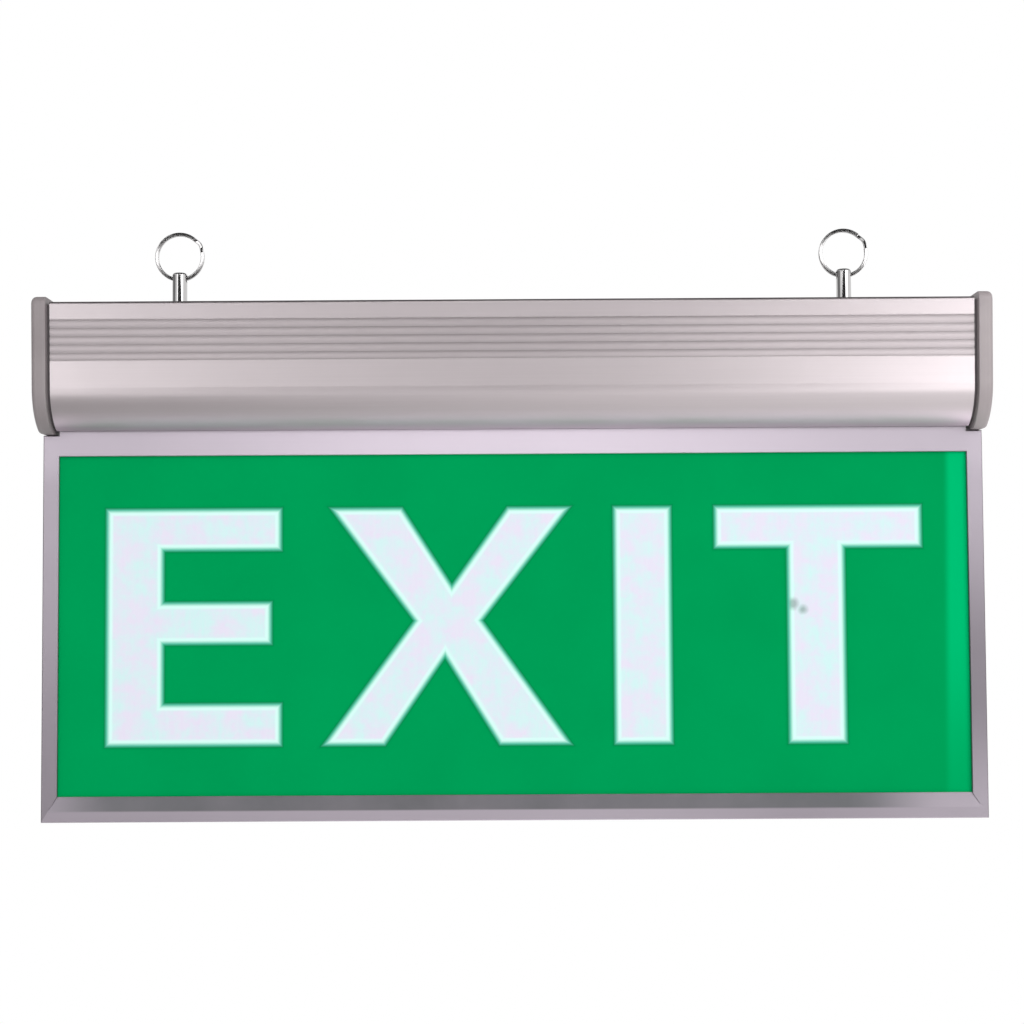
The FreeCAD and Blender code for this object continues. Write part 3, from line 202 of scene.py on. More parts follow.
def stage_plane(name, size, place, turn, material):
    """A flat rectangle that belongs to the studio and not to the light."""
    shape = bmesh.new()
    bmesh.ops.create_grid(shape, x_segments=1, y_segments=1, size=0.5)
    bmesh.ops.scale(shape, vec=(size[0], size[1], 1), verts=shape.verts)
    bmesh.ops.rotate(shape, matrix=Euler([math.radians(a) for a in turn]).to_matrix(), verts=shape.verts)
    bmesh.ops.translate(shape, vec=place, verts=shape.verts)
    mesh = bpy.data.meshes.new(name)
    shape.to_mesh(mesh)
    shape.free()
    plane = bpy.data.objects.new(name, mesh)
    mesh.materials.append(material)
    scene.collection.objects.link(plane)
    return plane


floor_paint, tree = new_material("floor_paint")
matt = add(tree, "ShaderNodeBsdfDiffuse", {"Color": FLOOR_GREY})
glow = add(tree, "ShaderNodeEmission", {"Color": (1, 1, 1, 1), "Strength": 1.0})
share = math_node(tree, "MULTIPLY", seen(tree), FLOOR_WHITE_SHARE)
mixed = add(tree, "ShaderNodeMixShader", {0: share, 1: matt.outputs[0], 2: glow.outputs[0]})
add(tree, "ShaderNodeOutputMaterial", {"Surface": mixed.outputs[0]})
stage_plane("floor", (FLOOR_SIZE, FLOOR_SIZE), (0, 0, FLOOR_Z), (0, 0, 0), floor_paint)
print("the floor lies", -FLOOR_Z, "m below the housing's top")


# %% The soft boxes
def soft_box(name, place, aim, size, brightness):
    """A rectangular area lamp aimed at a point; brightness is how bright its face looks, white being 1."""
    lamp = bpy.data.lights.new(name, "AREA")
    lamp.shape = "RECTANGLE"
    lamp.size, lamp.size_y = size
    lamp.energy = brightness * math.pi * size[0] * size[1]
    box = bpy.data.objects.new(name, lamp)
    scene.collection.objects.link(box)
    box.location = place
    box.rotation_euler = (Vector(aim) - Vector(place)).to_track_quat("-Z", "Y").to_euler()


MIDDLE = (CAD_BOX[0] + CAD_BOX[1]) / 2
soft_box("soft_box_left", place=(-0.525, -1.5, 0.35), aim=MIDDLE, size=(0.80, 1.65), brightness=1.6)
soft_box("soft_box_right", place=(0.955, -1.5, 0.26), aim=MIDDLE, size=(1.6, 1.8), brightness=2.3)
print("two soft boxes stand in front of the light")

# %% [markdown]
# Bright metal shows whatever stands around it, and in an all white room it would vanish. A studio holds dark
# and grey cards just outside the view, so that each edge and curve has something darker to mirror. Here a
# dark card hangs overhead and a grey one stands at the left. Paler ones, brighter to the right, lie below and
# stand low in front. Nearly black ones stand in front at the camera's height and above it, and one lies on
# the housing's top under the rings. Reflections alone see these cards: they neither block light nor show in
# the view.


# %% Cards for the metal to mirror
CARD_FADE = 0.45  # the brightness changes over this distance to each side of the middle, in metres


def card(name, size, place, turn, left, right, upper_side_only=False):
    """A card whose brightness runs from left to right over its middle, white being 1."""
    paint, tree = new_material(name)
    point = add(tree, "ShaderNodeTexCoord").outputs["Object"]
    sideways = add(tree, "ShaderNodeSeparateXYZ", {0: point}).outputs["X"]
    shade = add(tree, "ShaderNodeMapRange", {
        "Value": sideways, "From Min": -CARD_FADE, "From Max": CARD_FADE, "To Min": left, "To Max": right})
    glow = add(tree, "ShaderNodeEmission", {"Color": (1, 1, 1, 1), "Strength": shade.outputs["Result"]})
    if upper_side_only:
        behind = add(tree, "ShaderNodeNewGeometry").outputs["Backfacing"]
        clear = add(tree, "ShaderNodeBsdfTransparent")
        glow = add(tree, "ShaderNodeMixShader", {0: behind, 1: glow.outputs[0], 2: clear.outputs[0]})
    add(tree, "ShaderNodeOutputMaterial", {"Surface": glow.outputs[0]})
    plane = stage_plane(name, size, place, turn, paint)
    plane.visible_camera = False
    plane.visible_diffuse = False
    plane.visible_transmission = False
    plane.visible_shadow = False
    plane.visible_volume_scatter = False


LYING = (0, 0, 0)  # turns in degrees
UPRIGHT = (90, 0, 0)
SIDEWAYS = (0, 90, 0)
# Each card's width and height, middle, turn, and brightness at the left and at the right.
card("card_overhead", (2.6, 2.6), (0, -0.1, 0.95), LYING, 0.10, 0.10)
card("card_below_front", (2.6, 1.25), (0, -0.675, -0.9), LYING, 0.42, 1.27)
card("card_below", (2.6, 0.95), (0, 0.425, -0.9), LYING, 1.25, 2.7)
card("card_front_low", (2.4, 0.30), (0, -0.80, -0.45), UPRIGHT, 0.52, 1.25)
card("card_camera", (0.66, 0.13), (0, -0.75, -0.105), UPRIGHT, 0.04, 0.04)
card("card_over_camera", (0.80, 0.088), (0, -0.70, 0.104), UPRIGHT, 0.03, 0.03)
card("card_left_ring", (0.26, 0.74), (-0.25, -0.70, 0.5305), UPRIGHT, 0.02, 0.02)
card("card_right_ring", (0.26, 0.74), (0.25, -0.70, 0.5305), UPRIGHT, 0.02, 0.02)
card("card_under_rings", (0.40, 0.24), (0, -0.142, 0.0005), LYING, 0.02, 0.02, upper_side_only=True)
card("card_left", (1.0, 1.6), (-1.5, 0.0, 0.1), SIDEWAYS, 0.25, 0.25)
print("the cards are up")

# %% [markdown]
# ## Effects that several finishes share
#
# Drawn metal has fine lines along its length, moulded plastic a fine skin, and both vary a little from place
# to place. Each such effect is one node group, made once and placed in every finish that needs it with its
# own numbers. A group only hands out masks and heights. The shader itself stays in the material.


# %% A helper for node groups
def new_group(name, inputs, outputs):
    """An empty node group with its named sockets; each input has a kind and a first value."""
    group = bpy.data.node_groups.new(name, "ShaderNodeTree")
    for label, (kind, value) in inputs.items():
        group.interface.new_socket(name=label, in_out="INPUT", socket_type=kind).default_value = value
    for label in outputs:
        group.interface.new_socket(name=label, in_out="OUTPUT", socket_type="NodeSocketFloat")
    return group, group.nodes.new("NodeGroupInput").outputs, group.nodes.new("NodeGroupOutput")


def place_group(tree, group, inputs):
    """Puts a group into a material, gives it its numbers and returns its outputs."""
    node = tree.nodes.new("ShaderNodeGroup")
    node.node_tree = group
    for name, value in inputs.items():
        node.inputs[name].default_value = value
    return node.outputs


def place_on_piece(tree, scale=None):
    """The point on the piece, in metres from the frame's origin, stretched by a scale for each axis."""
    point = add(tree, "ShaderNodeTexCoord").outputs["Object"]
    if scale is None:
        return point
    return add(tree, "ShaderNodeVectorMath", {0: point, 1: scale}, operation="MULTIPLY").outputs[0]
def noise(tree, place, scale, detail, roughness=0.5):
    """A cloudy pattern from 0 to 1, read at a place."""
    inputs = {"Vector": place, "Scale": scale, "Detail": detail, "Roughness": roughness}
    return add(tree, "ShaderNodeTexNoise", inputs).outputs["Fac"]


print("group helpers ready")

# %% Drawn lines, for extruded and turned metal
drawn_lines, given, handed = new_group(
    "drawn_lines",
    {"Lines per metre": ("NodeSocketVector", (20.0, 2500.0, 2500.0)),
     "Broad share": ("NodeSocketFloat", 0.4)},
    ["Shade", "Height"],
)
fine = noise(drawn_lines, place_on_piece(drawn_lines, given["Lines per metre"]), 1.0, 3.0, 0.6)
broad = noise(drawn_lines, place_on_piece(drawn_lines, given["Lines per metre"]), 0.13, 2.0)
shade = add(drawn_lines, "ShaderNodeMix", {0: given["Broad share"], 2: fine, 3: broad}, data_type="FLOAT")
drawn_lines.links.new(shade.outputs[0], handed.inputs["Shade"])
drawn_lines.links.new(fine, handed.inputs["Height"])
print("group drawn_lines")

# %% Mottling, for slow changes of shade over any surface
mottling, given, handed = new_group("mottling", {"Patches per metre": ("NodeSocketFloat", 30.0)}, ["Shade"])
patches = noise(mottling, place_on_piece(mottling), given["Patches per metre"], 4.0, 0.55)
mottling.links.new(patches, handed.inputs["Shade"])
print("group mottling")

# %% Moulded skin, the fine grain of plastic and rubber
moulded_skin, given, handed = new_group(
    "moulded_skin", {"Grains per metre": ("NodeSocketFloat", 2200.0)}, ["Height"])
grains = noise(moulded_skin, place_on_piece(moulded_skin), given["Grains per metre"], 2.0, 0.7)
moulded_skin.links.new(grains, handed.inputs["Height"])
print("group moulded_skin")

# %% Edge wear, where handling rubs a corner bright
CHIPS_PER_METRE = 400.0

edge_wear, given, handed = new_group(
    "edge_wear", {"Width": ("NodeSocketFloat", 0.0004), "Amount": ("NodeSocketFloat", 3.0)}, ["Mask"])
rounded = add(edge_wear, "ShaderNodeBevel", {"Radius": given["Width"]}, samples=4)
flat = add(edge_wear, "ShaderNodeNewGeometry").outputs["Normal"]
agree = add(edge_wear, "ShaderNodeVectorMath", {0: rounded.outputs[0], 1: flat}, operation="DOT_PRODUCT")
away = math_node(edge_wear, "SUBTRACT", 1.0, agree.outputs["Value"])
chips = noise(edge_wear, place_on_piece(edge_wear), CHIPS_PER_METRE, 3.0)
worn = product(edge_wear, away, scaled(edge_wear, chips, 0.0, 2.0))
worn = math_node(edge_wear, "MULTIPLY", worn, given["Amount"], clamp=True)
edge_wear.links.new(worn, handed.inputs["Mask"])
print("group edge_wear")

# %% How far along, for changes that follow one axis
far_along, given, handed = new_group(
    "far_along",
    {"Axis": ("NodeSocketVector", (1.0, 0.0, 0.0)), "Start": ("NodeSocketFloat", 0.0),
     "End": ("NodeSocketFloat", 1.0)},
    ["Share"],
)
along = add(far_along, "ShaderNodeVectorMath",
            {0: place_on_piece(far_along), 1: given["Axis"]}, operation="DOT_PRODUCT")
share = smooth_share(far_along, along.outputs["Value"], given["Start"], given["End"])
far_along.links.new(share, handed.inputs["Share"])
print("group far_along")


# %% [markdown]
# ## Metal finishes
#
# Satin metal is a metallic shader with a middling roughness, broken up by its drawn lines: they shift the
# colour and the roughness a little and raise a faint relief. Its wear says how much brighter rubbed corners
# are, and the panel's frame has none. Polished steel is the same with hardly any roughness, and its corners
# look rounded, because polishing rounds them.


# %% A maker of metal finishes
def surface(tree, colour, roughness, metallic=0.0, normal=None, **fixed):
    """Ends a material in its Principled shader. fixed holds the sockets that are the same all over."""
    shader = add(tree, "ShaderNodeBsdfPrincipled",
                 {"Base Color": colour, "Roughness": roughness, "Metallic": metallic})
    if normal is not None:
        tree.links.new(normal, shader.inputs["Normal"])
    for name, value in fixed.items():
        shader.inputs[name.replace("_", " ")].default_value = value
    add(tree, "ShaderNodeOutputMaterial", {"Surface": shader.outputs[0]})


def relief(tree, height, depth, strength, normal=None):
    inputs = {"Height": height, "Distance": depth, "Strength": strength}
    if normal is not None:
        inputs["Normal"] = normal
    return add(tree, "ShaderNodeBump", inputs).outputs[0]


RUBBED_METAL = (0.9, 0.88, 0.88)


def satin_metal(name, colour, roughness, lines, contrast=0.08, wear=0.35, line_depth=0.35, tint=None,
                duller=None):
    """Drawn or rolled metal. tint and duller, if given, change the colour or the roughness over the piece."""
    material, tree = new_material(name)
    streaks = place_group(tree, drawn_lines, {"Lines per metre": lines})
    patches = place_group(tree, mottling, {"Patches per metre": 25.0})["Shade"]
    dull = [c * (1 - contrast) for c in colour]
    bright = [min(1.0, c * (1 + contrast)) for c in colour]
    shade = mix_colours(tree, streaks["Shade"], dull, bright)
    if tint is not None:
        shade = tint(tree, shade)
    rubbed = place_group(tree, edge_wear, {"Width": 0.0005, "Amount": 2.5})["Mask"]
    shade = mix_colours(tree, product(tree, rubbed, wear), shade, RUBBED_METAL)
    rough = math_node(tree, "ADD", scaled(tree, patches, roughness - 0.05, roughness + 0.05),
                      scaled(tree, streaks["Shade"], -0.04, 0.04))
    if duller is not None:
        rough = duller(tree, rough)
    surface(tree, shade, rough, 1.0, relief(tree, streaks["Height"], 0.00002, line_depth))
    return material


def polished_metal(name, colour, roughness, rounding):
    material, tree = new_material(name)
    patches = place_group(tree, mottling, {"Patches per metre": 220.0})["Shade"]
    soft_corner = add(tree, "ShaderNodeBevel", {"Radius": rounding}, samples=8).outputs[0]
    dull = [c * 0.93 for c in colour]
    streaks = place_group(tree, drawn_lines, {"Lines per metre": (900.0, 900.0, 4000.0)})
    shade = mix_colours(tree, patches, dull, colour)
    rough = scaled(tree, patches, roughness, roughness + 0.05)
    surface(tree, shade, rough, 1.0, relief(tree, streaks["Height"], 0.000005, 0.08, soft_corner))
    return material


print("metal makers ready")

# %% [markdown]
# Shade and reflection are painted into the extrusions' colour. The panel's frame carries painted shade, so it
# is palest at the middle of its top and darker towards its ends and its foot. The bottom bar's slope carries
# a band of painted shade, the housing's ribs carry painted shade along their middle, and its lower lip has a
# painted lighter lilac that stands in for a paler reflection. Each change grows between two places along X or
# Z, so it stays on the piece from whatever side the light comes.


# %% Where a tint grows
def sideways_share(tree, start, end):
    return place_group(tree, far_along, {"Start": start, "End": end})["Share"]


def upward_share(tree, start, end):
    return place_group(tree, far_along, {"Axis": (0, 0, 1), "Start": start, "End": end})["Share"]


NEARLY_BLACK = (0.015, 0.015, 0.015)


def darkened(tree, share, shade):
    """Paints shade onto a colour: makes it darker by a share of 0 to 1."""
    return mix_colours(tree, share, shade, NEARLY_BLACK)


print("tint helpers ready")

# %% The painted shade of the panel's frame
RIGHT_END = (0.01, 0.175)  # where each change starts and ends, in metres along X
LEFT_END = (-0.03, -0.175)
LEFT_TO_RIGHT_SIDE = (0.10, 0.17)
UNDER_TOP_EDGE = (-0.056, -0.070)  # and in metres along Z
DOWN_LEFT_SIDE = (-0.05, -0.20)
DOWN_RIGHT_SIDE = (-0.065, -0.135)
RIGHT_FOOT = (-0.150, -0.195)
RIGHT_PAINTED_SHADE = 0.52
LEFT_PAINTED_SHADE = 0.40
TOP_EDGE_PAINTED_SHADE = 0.15
DOWN_LEFT_PAINTED_SHADE = 0.40
DOWN_RIGHT_PAINTED_SHADE = (0.50, 0.12)  # above the foot and at the foot


def painted_frame_shade(tree, shade, left_shade_amount=LEFT_PAINTED_SHADE):
    """Painted shade: the frame is palest at the middle of its top, and darker towards its ends and its foot.
    """
    # Painted shade that grows towards the ends, under the top edge and down the sides.
    right = product(tree, sideways_share(tree, *RIGHT_END), RIGHT_PAINTED_SHADE)
    left = product(tree, sideways_share(tree, *LEFT_END), left_shade_amount)
    shade = darkened(tree, math_node(tree, "ADD", left, right), shade)
    shade = darkened(tree, product(tree, upward_share(tree, *UNDER_TOP_EDGE), TOP_EDGE_PAINTED_SHADE), shade)
    down_left = product(tree, upward_share(tree, *DOWN_LEFT_SIDE), DOWN_LEFT_PAINTED_SHADE)
    right_shade_amount = scaled(tree, upward_share(tree, *RIGHT_FOOT), *DOWN_RIGHT_PAINTED_SHADE)
    down_right = product(tree, upward_share(tree, *DOWN_RIGHT_SIDE), right_shade_amount)
    to_right = sideways_share(tree, *LEFT_TO_RIGHT_SIDE)
    down = add(tree, "ShaderNodeMix", {0: to_right, 2: down_left, 3: down_right})
    return darkened(tree, down.outputs[0], shade)


print("frame tint ready")

# %% The painted shade on the bottom bar's slope
SLOPE = (-0.1920, -0.1912)
FROM_LEFT_END = (-0.192, -0.148)
FROM_RIGHT_END = (0.166, 0.125)
SLOPE_SHADE_COLOUR = (0.035, 0.05, 0.045)
SLOPE_LEFT_PAINTED_SHADE = 0.18


def painted_slope_shade(tree, shade):
    """Painted shade: the bottom bar's slope is darker, unevenly, and less so near both ends."""
    shade = painted_frame_shade(tree, shade, SLOPE_LEFT_PAINTED_SHADE)
    # A band of painted shade on the slope, fading out near both ends.
    on_slope = upward_share(tree, *SLOPE)
    inside = product(tree, sideways_share(tree, *FROM_LEFT_END), sideways_share(tree, *FROM_RIGHT_END))
    slope_shade_mask = product(tree, on_slope, inside)
    uneven = scaled(tree, place_group(tree, mottling, {"Patches per metre": 35.0})["Shade"], 0.47, 0.78)
    return mix_colours(tree, product(tree, slope_shade_mask, uneven), shade, SLOPE_SHADE_COLOUR)


print("slope tint ready")

# %% The painted shade, the painted lilac and the roughness of the housing
RIBS_FROM_ABOVE = (-0.0062, -0.0068)
RIBS_FROM_BELOW = (-0.0228, -0.0222)
MIDDLE_FROM_RIGHT = (0.13, 0.0)
MIDDLE_FROM_LEFT = (-0.13, 0.0)
LIP_PAINTED_LIGHT = (-0.040, -0.047)
LIP_DULLED = (-0.036, -0.047)
LIP_PAINTED_LILAC = (0.68, 0.56, 0.66)
LIP_PAINTED_LILAC_SHARE = 0.7
RIB_PAINTED_SHADE = 0.17
RIBS_ROUGHER = 0.22
LIP_ROUGHER = 0.17


def on_ribs(tree):
    """1 in the band of the ribs and 0 elsewhere."""
    return product(tree, upward_share(tree, *RIBS_FROM_ABOVE), upward_share(tree, *RIBS_FROM_BELOW))


def painted_rib_shade_and_lip_light(tree, shade):
    """Painted shade darkens the ribs along their middle, and a painted lighter lilac stands in for a paler
    reflection on the belly's lower lip.
    """
    middle = product(tree, sideways_share(tree, *MIDDLE_FROM_RIGHT), sideways_share(tree, *MIDDLE_FROM_LEFT))
    # Painted shade along the ribs' middle, then the painted lighter lilac on the lower lip.
    shade = darkened(tree, product(tree, product(tree, on_ribs(tree), middle), RIB_PAINTED_SHADE), shade)
    lip = product(tree, upward_share(tree, *LIP_PAINTED_LIGHT), LIP_PAINTED_LILAC_SHARE)
    return mix_colours(tree, lip, shade, LIP_PAINTED_LILAC)


def duller_belly(tree, rough):
    """The ribs are rougher than the flats, and so is the belly towards its lower lip."""
    rough = math_node(tree, "ADD", rough, product(tree, on_ribs(tree), RIBS_ROUGHER))
    return math_node(tree, "ADD", rough, product(tree, upward_share(tree, *LIP_DULLED), LIP_ROUGHER))


print("housing tint ready")

# %% The metals
ALONG_X = (18.0, 2600.0, 2600.0)
ALONG_Z = (1500.0, 1500.0, 20.0)
FRAME_BARS = dict(colour=(0.686, 0.612, 0.695), roughness=0.42, lines=ALONG_X, contrast=0.04, wear=0.0,
                  line_depth=0.15)
SATIN_METALS = {
    "housing_aluminium": dict(colour=(0.51, 0.46, 0.475), roughness=0.33, lines=ALONG_X, tint=painted_rib_shade_and_lip_light,
                              duller=duller_belly),
    "frame_aluminium": dict(FRAME_BARS, tint=painted_frame_shade),
    "bottom_bar_aluminium": dict(FRAME_BARS, tint=painted_slope_shade),
    "plain_aluminium": dict(colour=(0.56, 0.56, 0.57), roughness=0.42, lines=ALONG_Z),
    "plated_steel": dict(colour=(0.62, 0.62, 0.64), roughness=0.28, lines=(900.0, 900.0, 900.0),
                         contrast=0.12),
    "tray_steel": dict(colour=(0.52, 0.53, 0.55), roughness=0.40, lines=(400.0, 60.0, 400.0), contrast=0.14),
    "brass": dict(colour=(0.70, 0.50, 0.20), roughness=0.30, lines=(700.0, 700.0, 700.0), contrast=0.10),
}
finishes = {name: satin_metal(name, **numbers) for name, numbers in SATIN_METALS.items()}
finishes["polished_steel"] = polished_metal("polished_steel", (0.60, 0.59, 0.59), 0.03, 0.25 * MM)
print(len(finishes), "metals")

# %% [markdown]
# ## Plastics, films and boards
#
# Moulded plastic is matt, with a fine skin and slightly uneven shade. The end caps also show fine upright
# lines. Films and boards are flatter and smoother. Clear pieces let light through.


# %% A maker of plastic finishes
def plastic(name, colour, roughness=0.5, skin=0.00002, uneven=0.06, grains=2200.0, wear=0.12, **fixed):
    material, tree = new_material(name)
    patches = place_group(tree, mottling, {"Patches per metre": 60.0})["Shade"]
    grain = place_group(tree, moulded_skin, {"Grains per metre": grains})["Height"]
    dark = [c * (1 - uneven) for c in colour]
    light = [min(1.0, c * (1 + uneven)) for c in colour]
    shade = mix_colours(tree, patches, dark, light)
    rubbed = place_group(tree, edge_wear, {"Width": 0.0004, "Amount": 2.0})["Mask"]
    lighter = [min(1.0, c + 0.12) for c in colour]
    shade = mix_colours(tree, product(tree, rubbed, wear), shade, lighter)
    rough = scaled(tree, patches, roughness - 0.06, roughness + 0.06)
    surface(tree, shade, rough, 0.0, relief(tree, grain, skin, 0.5), **fixed)
    return material


CLEAR = {"Transmission_Weight": 1.0, "IOR": 1.49}
LENS = {"Transmission_Weight": 0.5, "IOR": 1.49}
NO_SKIN = 0.0
FINE_SKIN = 0.01 * MM
COARSE_SKIN = 0.03 * MM
PLASTICS = {
    "clear_acrylic": dict(colour=(0.93, 0.97, 0.96), roughness=0.06, skin=NO_SKIN, uneven=0.01, **CLEAR),
    "white_film": dict(colour=(0.86, 0.86, 0.85), roughness=0.6, skin=FINE_SKIN, uneven=0.02),
    "white_board": dict(colour=(0.80, 0.80, 0.77), roughness=0.4, skin=FINE_SKIN, uneven=0.03),
    "emitter": dict(colour=(0.86, 0.72, 0.20), roughness=0.25, skin=NO_SKIN, uneven=0.05),
    "green_board": dict(colour=(0.012, 0.13, 0.05), roughness=0.35, skin=FINE_SKIN, uneven=0.12),
    "shrink_sleeve": dict(colour=(0.02, 0.06, 0.20), roughness=0.25, skin=FINE_SKIN, uneven=0.08),
    "black_rubber": dict(colour=(0.018, 0.018, 0.018), roughness=0.75, skin=COARSE_SKIN, uneven=0.15),
    "black_plastic": dict(colour=(0.022, 0.022, 0.024)),
    "nylon": dict(colour=(0.72, 0.70, 0.62), roughness=0.42),
    "terminal_green": dict(colour=(0.02, 0.16, 0.06), roughness=0.4),
    "film_case": dict(colour=(0.72, 0.38, 0.02), roughness=0.3),
    "fuse_glass": dict(colour=(0.9, 0.94, 0.94), roughness=0.05, skin=NO_SKIN, uneven=0.01, **CLEAR),
    "ferrite": dict(colour=(0.03, 0.03, 0.033), roughness=0.65, skin=0.04 * MM, uneven=0.2, grains=900.0),
    "winding_tape": dict(colour=(0.62, 0.42, 0.04), roughness=0.3, skin=FINE_SKIN),
    "button_plastic": dict(colour=(0.03, 0.03, 0.033), roughness=0.42, skin=COARSE_SKIN),
    "mains_lens": dict(colour=(0.05, 0.50, 0.14), roughness=0.12, skin=NO_SKIN, uneven=0.03, **LENS),
    "fault_lens": dict(colour=(0.70, 0.05, 0.03), roughness=0.12, skin=NO_SKIN, uneven=0.03, **LENS),
}
finishes.update({name: plastic(name, **numbers) for name, numbers in PLASTICS.items()})
print(len(finishes), "finishes so far")


# %% The caps' plastic, with its fine upright lines
CAP_DARK = (0.35, 0.305, 0.315)
CAP_PALE = (0.44, 0.39, 0.40)
CAP_LINES = (0.27, 0.24, 0.24)
CAP_RUBBED = (0.62, 0.58, 0.58)
RIGHT_TO_LEFT_CAP = (0.1, -0.1)  # metres along X, over which painted shade darkens the left cap
LEFT_CAP_PAINTED_SHADE = (0.02, 0.02, 0.02)
LEFT_CAP_PAINTED_SHADE_SHARE = 0.28
GAP_FLOOR = 0.1744  # how far from the middle the gap between a cap and the housing has its floor
GAP_BLEND = 0.00005
GAP_PAINTED_SHADE = (0.05, 0.04, 0.045)
GAP_PAINTED_SHADE_SHARE = 0.8


def cap_plastic():
    """Painted shade makes the left cap darker than the right one, and painted shade darkens the floor of the
    gap beside each cap.
    """
    material, tree = new_material("grey_cap_plastic")
    patches = place_group(tree, mottling, {"Patches per metre": 45.0})["Shade"]
    grain = place_group(tree, moulded_skin, {"Grains per metre": 2600.0})["Height"]
    cuts = place_group(tree, drawn_lines, {"Lines per metre": (1900.0, 12.0, 12.0), "Broad share": 0.25})
    shade = mix_colours(tree, scaled(tree, patches, -0.6, 1.6), CAP_DARK, CAP_PALE)
    shade = mix_colours(tree, scaled(tree, cuts["Shade"], -0.1, 0.5), shade, CAP_LINES)
    rubbed = place_group(tree, edge_wear, {"Width": 0.0006, "Amount": 2.0})["Mask"]
    shade = mix_colours(tree, product(tree, rubbed, 0.3), shade, CAP_RUBBED)
    # Painted shade: the left cap is darker than the right one.
    painted_shade_leftwards = sideways_share(tree, *RIGHT_TO_LEFT_CAP)
    shade = mix_colours(tree, product(tree, painted_shade_leftwards, LEFT_CAP_PAINTED_SHADE_SHARE), shade, LEFT_CAP_PAINTED_SHADE)
    # Painted shade on the floor of the gap between each cap and the housing.
    from_left = sideways_share(tree, -GAP_FLOOR - GAP_BLEND, -GAP_FLOOR)
    from_right = sideways_share(tree, GAP_FLOOR + GAP_BLEND, GAP_FLOOR)
    in_gap = product(tree, from_left, from_right)
    shade = mix_colours(tree, product(tree, in_gap, GAP_PAINTED_SHADE_SHARE), shade, GAP_PAINTED_SHADE)
    height = math_node(tree, "ADD", cuts["Height"], grain)
    surface(tree, shade, scaled(tree, patches, 0.42, 0.56), 0.0, relief(tree, height, 0.00003, 0.5))
    return material


finishes["grey_cap_plastic"] = cap_plastic()
print("cap plastic ready")


# %% [markdown]
# ## The printed sheet
#
# The legend is printed in green on a thin sheet in front of the acrylic. The ink is matt and nearly even. At
# the right edge a painted highlight, a narrow upright band which leans a little, is brighter towards its top.


# %% The green print
GREENS = ((0.0, 0.285, 0.078), (0.0, 0.345, 0.096))
HIGHLIGHT_GREEN = (0.0, 0.48, 0.158)
HIGHLIGHT_LEAN = -0.0126
HIGHLIGHT_START = 164.6 * MM
HIGHLIGHT_END = 167.9 * MM
HIGHLIGHT_FADE = (-0.12, -0.19)  # metres along Z


def printed_green(tree):
    patches = place_group(tree, mottling, {"Patches per metre": 22.0})["Shade"]
    return mix_colours(tree, patches, *GREENS)


def legend_print():
    material, tree = new_material("legend_print")
    patches = place_group(tree, mottling, {"Patches per metre": 22.0})["Shade"]
    # A painted highlight: the leaning band at the right edge, brighter towards its top.
    leaning = {"Axis": (1.0, 0.0, HIGHLIGHT_LEAN), "Start": HIGHLIGHT_START, "End": HIGHLIGHT_END}
    edge_highlight = place_group(tree, far_along, leaning)["Share"]
    edge_highlight = product(tree, edge_highlight, scaled(tree, upward_share(tree, *HIGHLIGHT_FADE), 1.0, 0.34))
    green = mix_colours(tree, edge_highlight, printed_green(tree), HIGHLIGHT_GREEN)
    grain = place_group(tree, moulded_skin, {"Grains per metre": 3000.0})["Height"]
    surface(tree, green, scaled(tree, patches, 0.5, 0.62), 0.0, relief(tree, grain, 0.00001, 0.3),
            Specular_IOR_Level=0.0)
    return material


finishes["legend_print"] = legend_print()
print("legend print ready")

# %% [markdown]
# ## Giving each piece of the frame its finish
#
# The frame's pieces already carry a plain material named after their slot in the record. The extrusions share
# one slot but not one finish, because the housing and the panel's frame are different profiles from different
# dies, so those are told apart by name.

# %% Dress the frame
OWN_FINISH = {
    "housing_shell": "housing_aluminium",
    "frame_top_bar": "frame_aluminium",
    "frame_bottom_bar": "bottom_bar_aluminium",
    "frame_left_bar": "frame_aluminium",
    "frame_right_bar": "frame_aluminium",
    "legend_sheet": "legend_print",
}
for name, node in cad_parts.items():
    for slot in node.material_slots:
        slot.material = finishes[OWN_FINISH.get(name, slot.material.name)]
print("dressed", len(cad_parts), "pieces")


# %% [markdown]
# ## The letters
#
# The word is printed in white, on top of the green, in plain block letters. They are drawn here from straight
# strokes only, as a sign painter would lay them out with a rule: each letter is a flat outline, pushed out to
# the thickness of the ink. The print's edge is soft, and the white is a little brighter just inside it. So
# each letter's plate reaches a little beyond its outline, and its corners carry a number named inwards: how
# far inside the outline they lie. The finish reads that number to fade from white to green.

# %% Outlines of the letters
CAP_HEIGHT = 88.6  # millimetres, as everything in this cell
BASE_Z = -166.65
ARM = 14.6  # how thick the level strokes are, and the stem the upright ones
STEM = 20.5


def letter_e(left):
    right, middle = left + 65.3, left + 61.5
    waist = 38.45
    return [(left, 0), (right, 0), (right, ARM), (left + STEM, ARM), (left + STEM, waist), (middle, waist),
            (middle, waist + ARM), (left + STEM, waist + ARM), (left + STEM, CAP_HEIGHT - ARM),
            (right, CAP_HEIGHT - ARM), (right, CAP_HEIGHT), (left, CAP_HEIGHT)]


def letter_x(left):
    return [(left, 0), (left + 21.8, 0), (left + 45.1, 33.8), (left + 66.1, 0), (left + 91.5, 0),
            (left + 58.4, 46.3), (left + 91.4, CAP_HEIGHT), (left + 69.4, CAP_HEIGHT), (left + 47.7, 58.4),
            (left + 28.5, CAP_HEIGHT), (left + 3.0, CAP_HEIGHT), (left + 34.3, 46.3)]


def letter_i(left):
    return [(left, 0), (left + STEM, 0), (left + STEM, CAP_HEIGHT), (left, CAP_HEIGHT)]


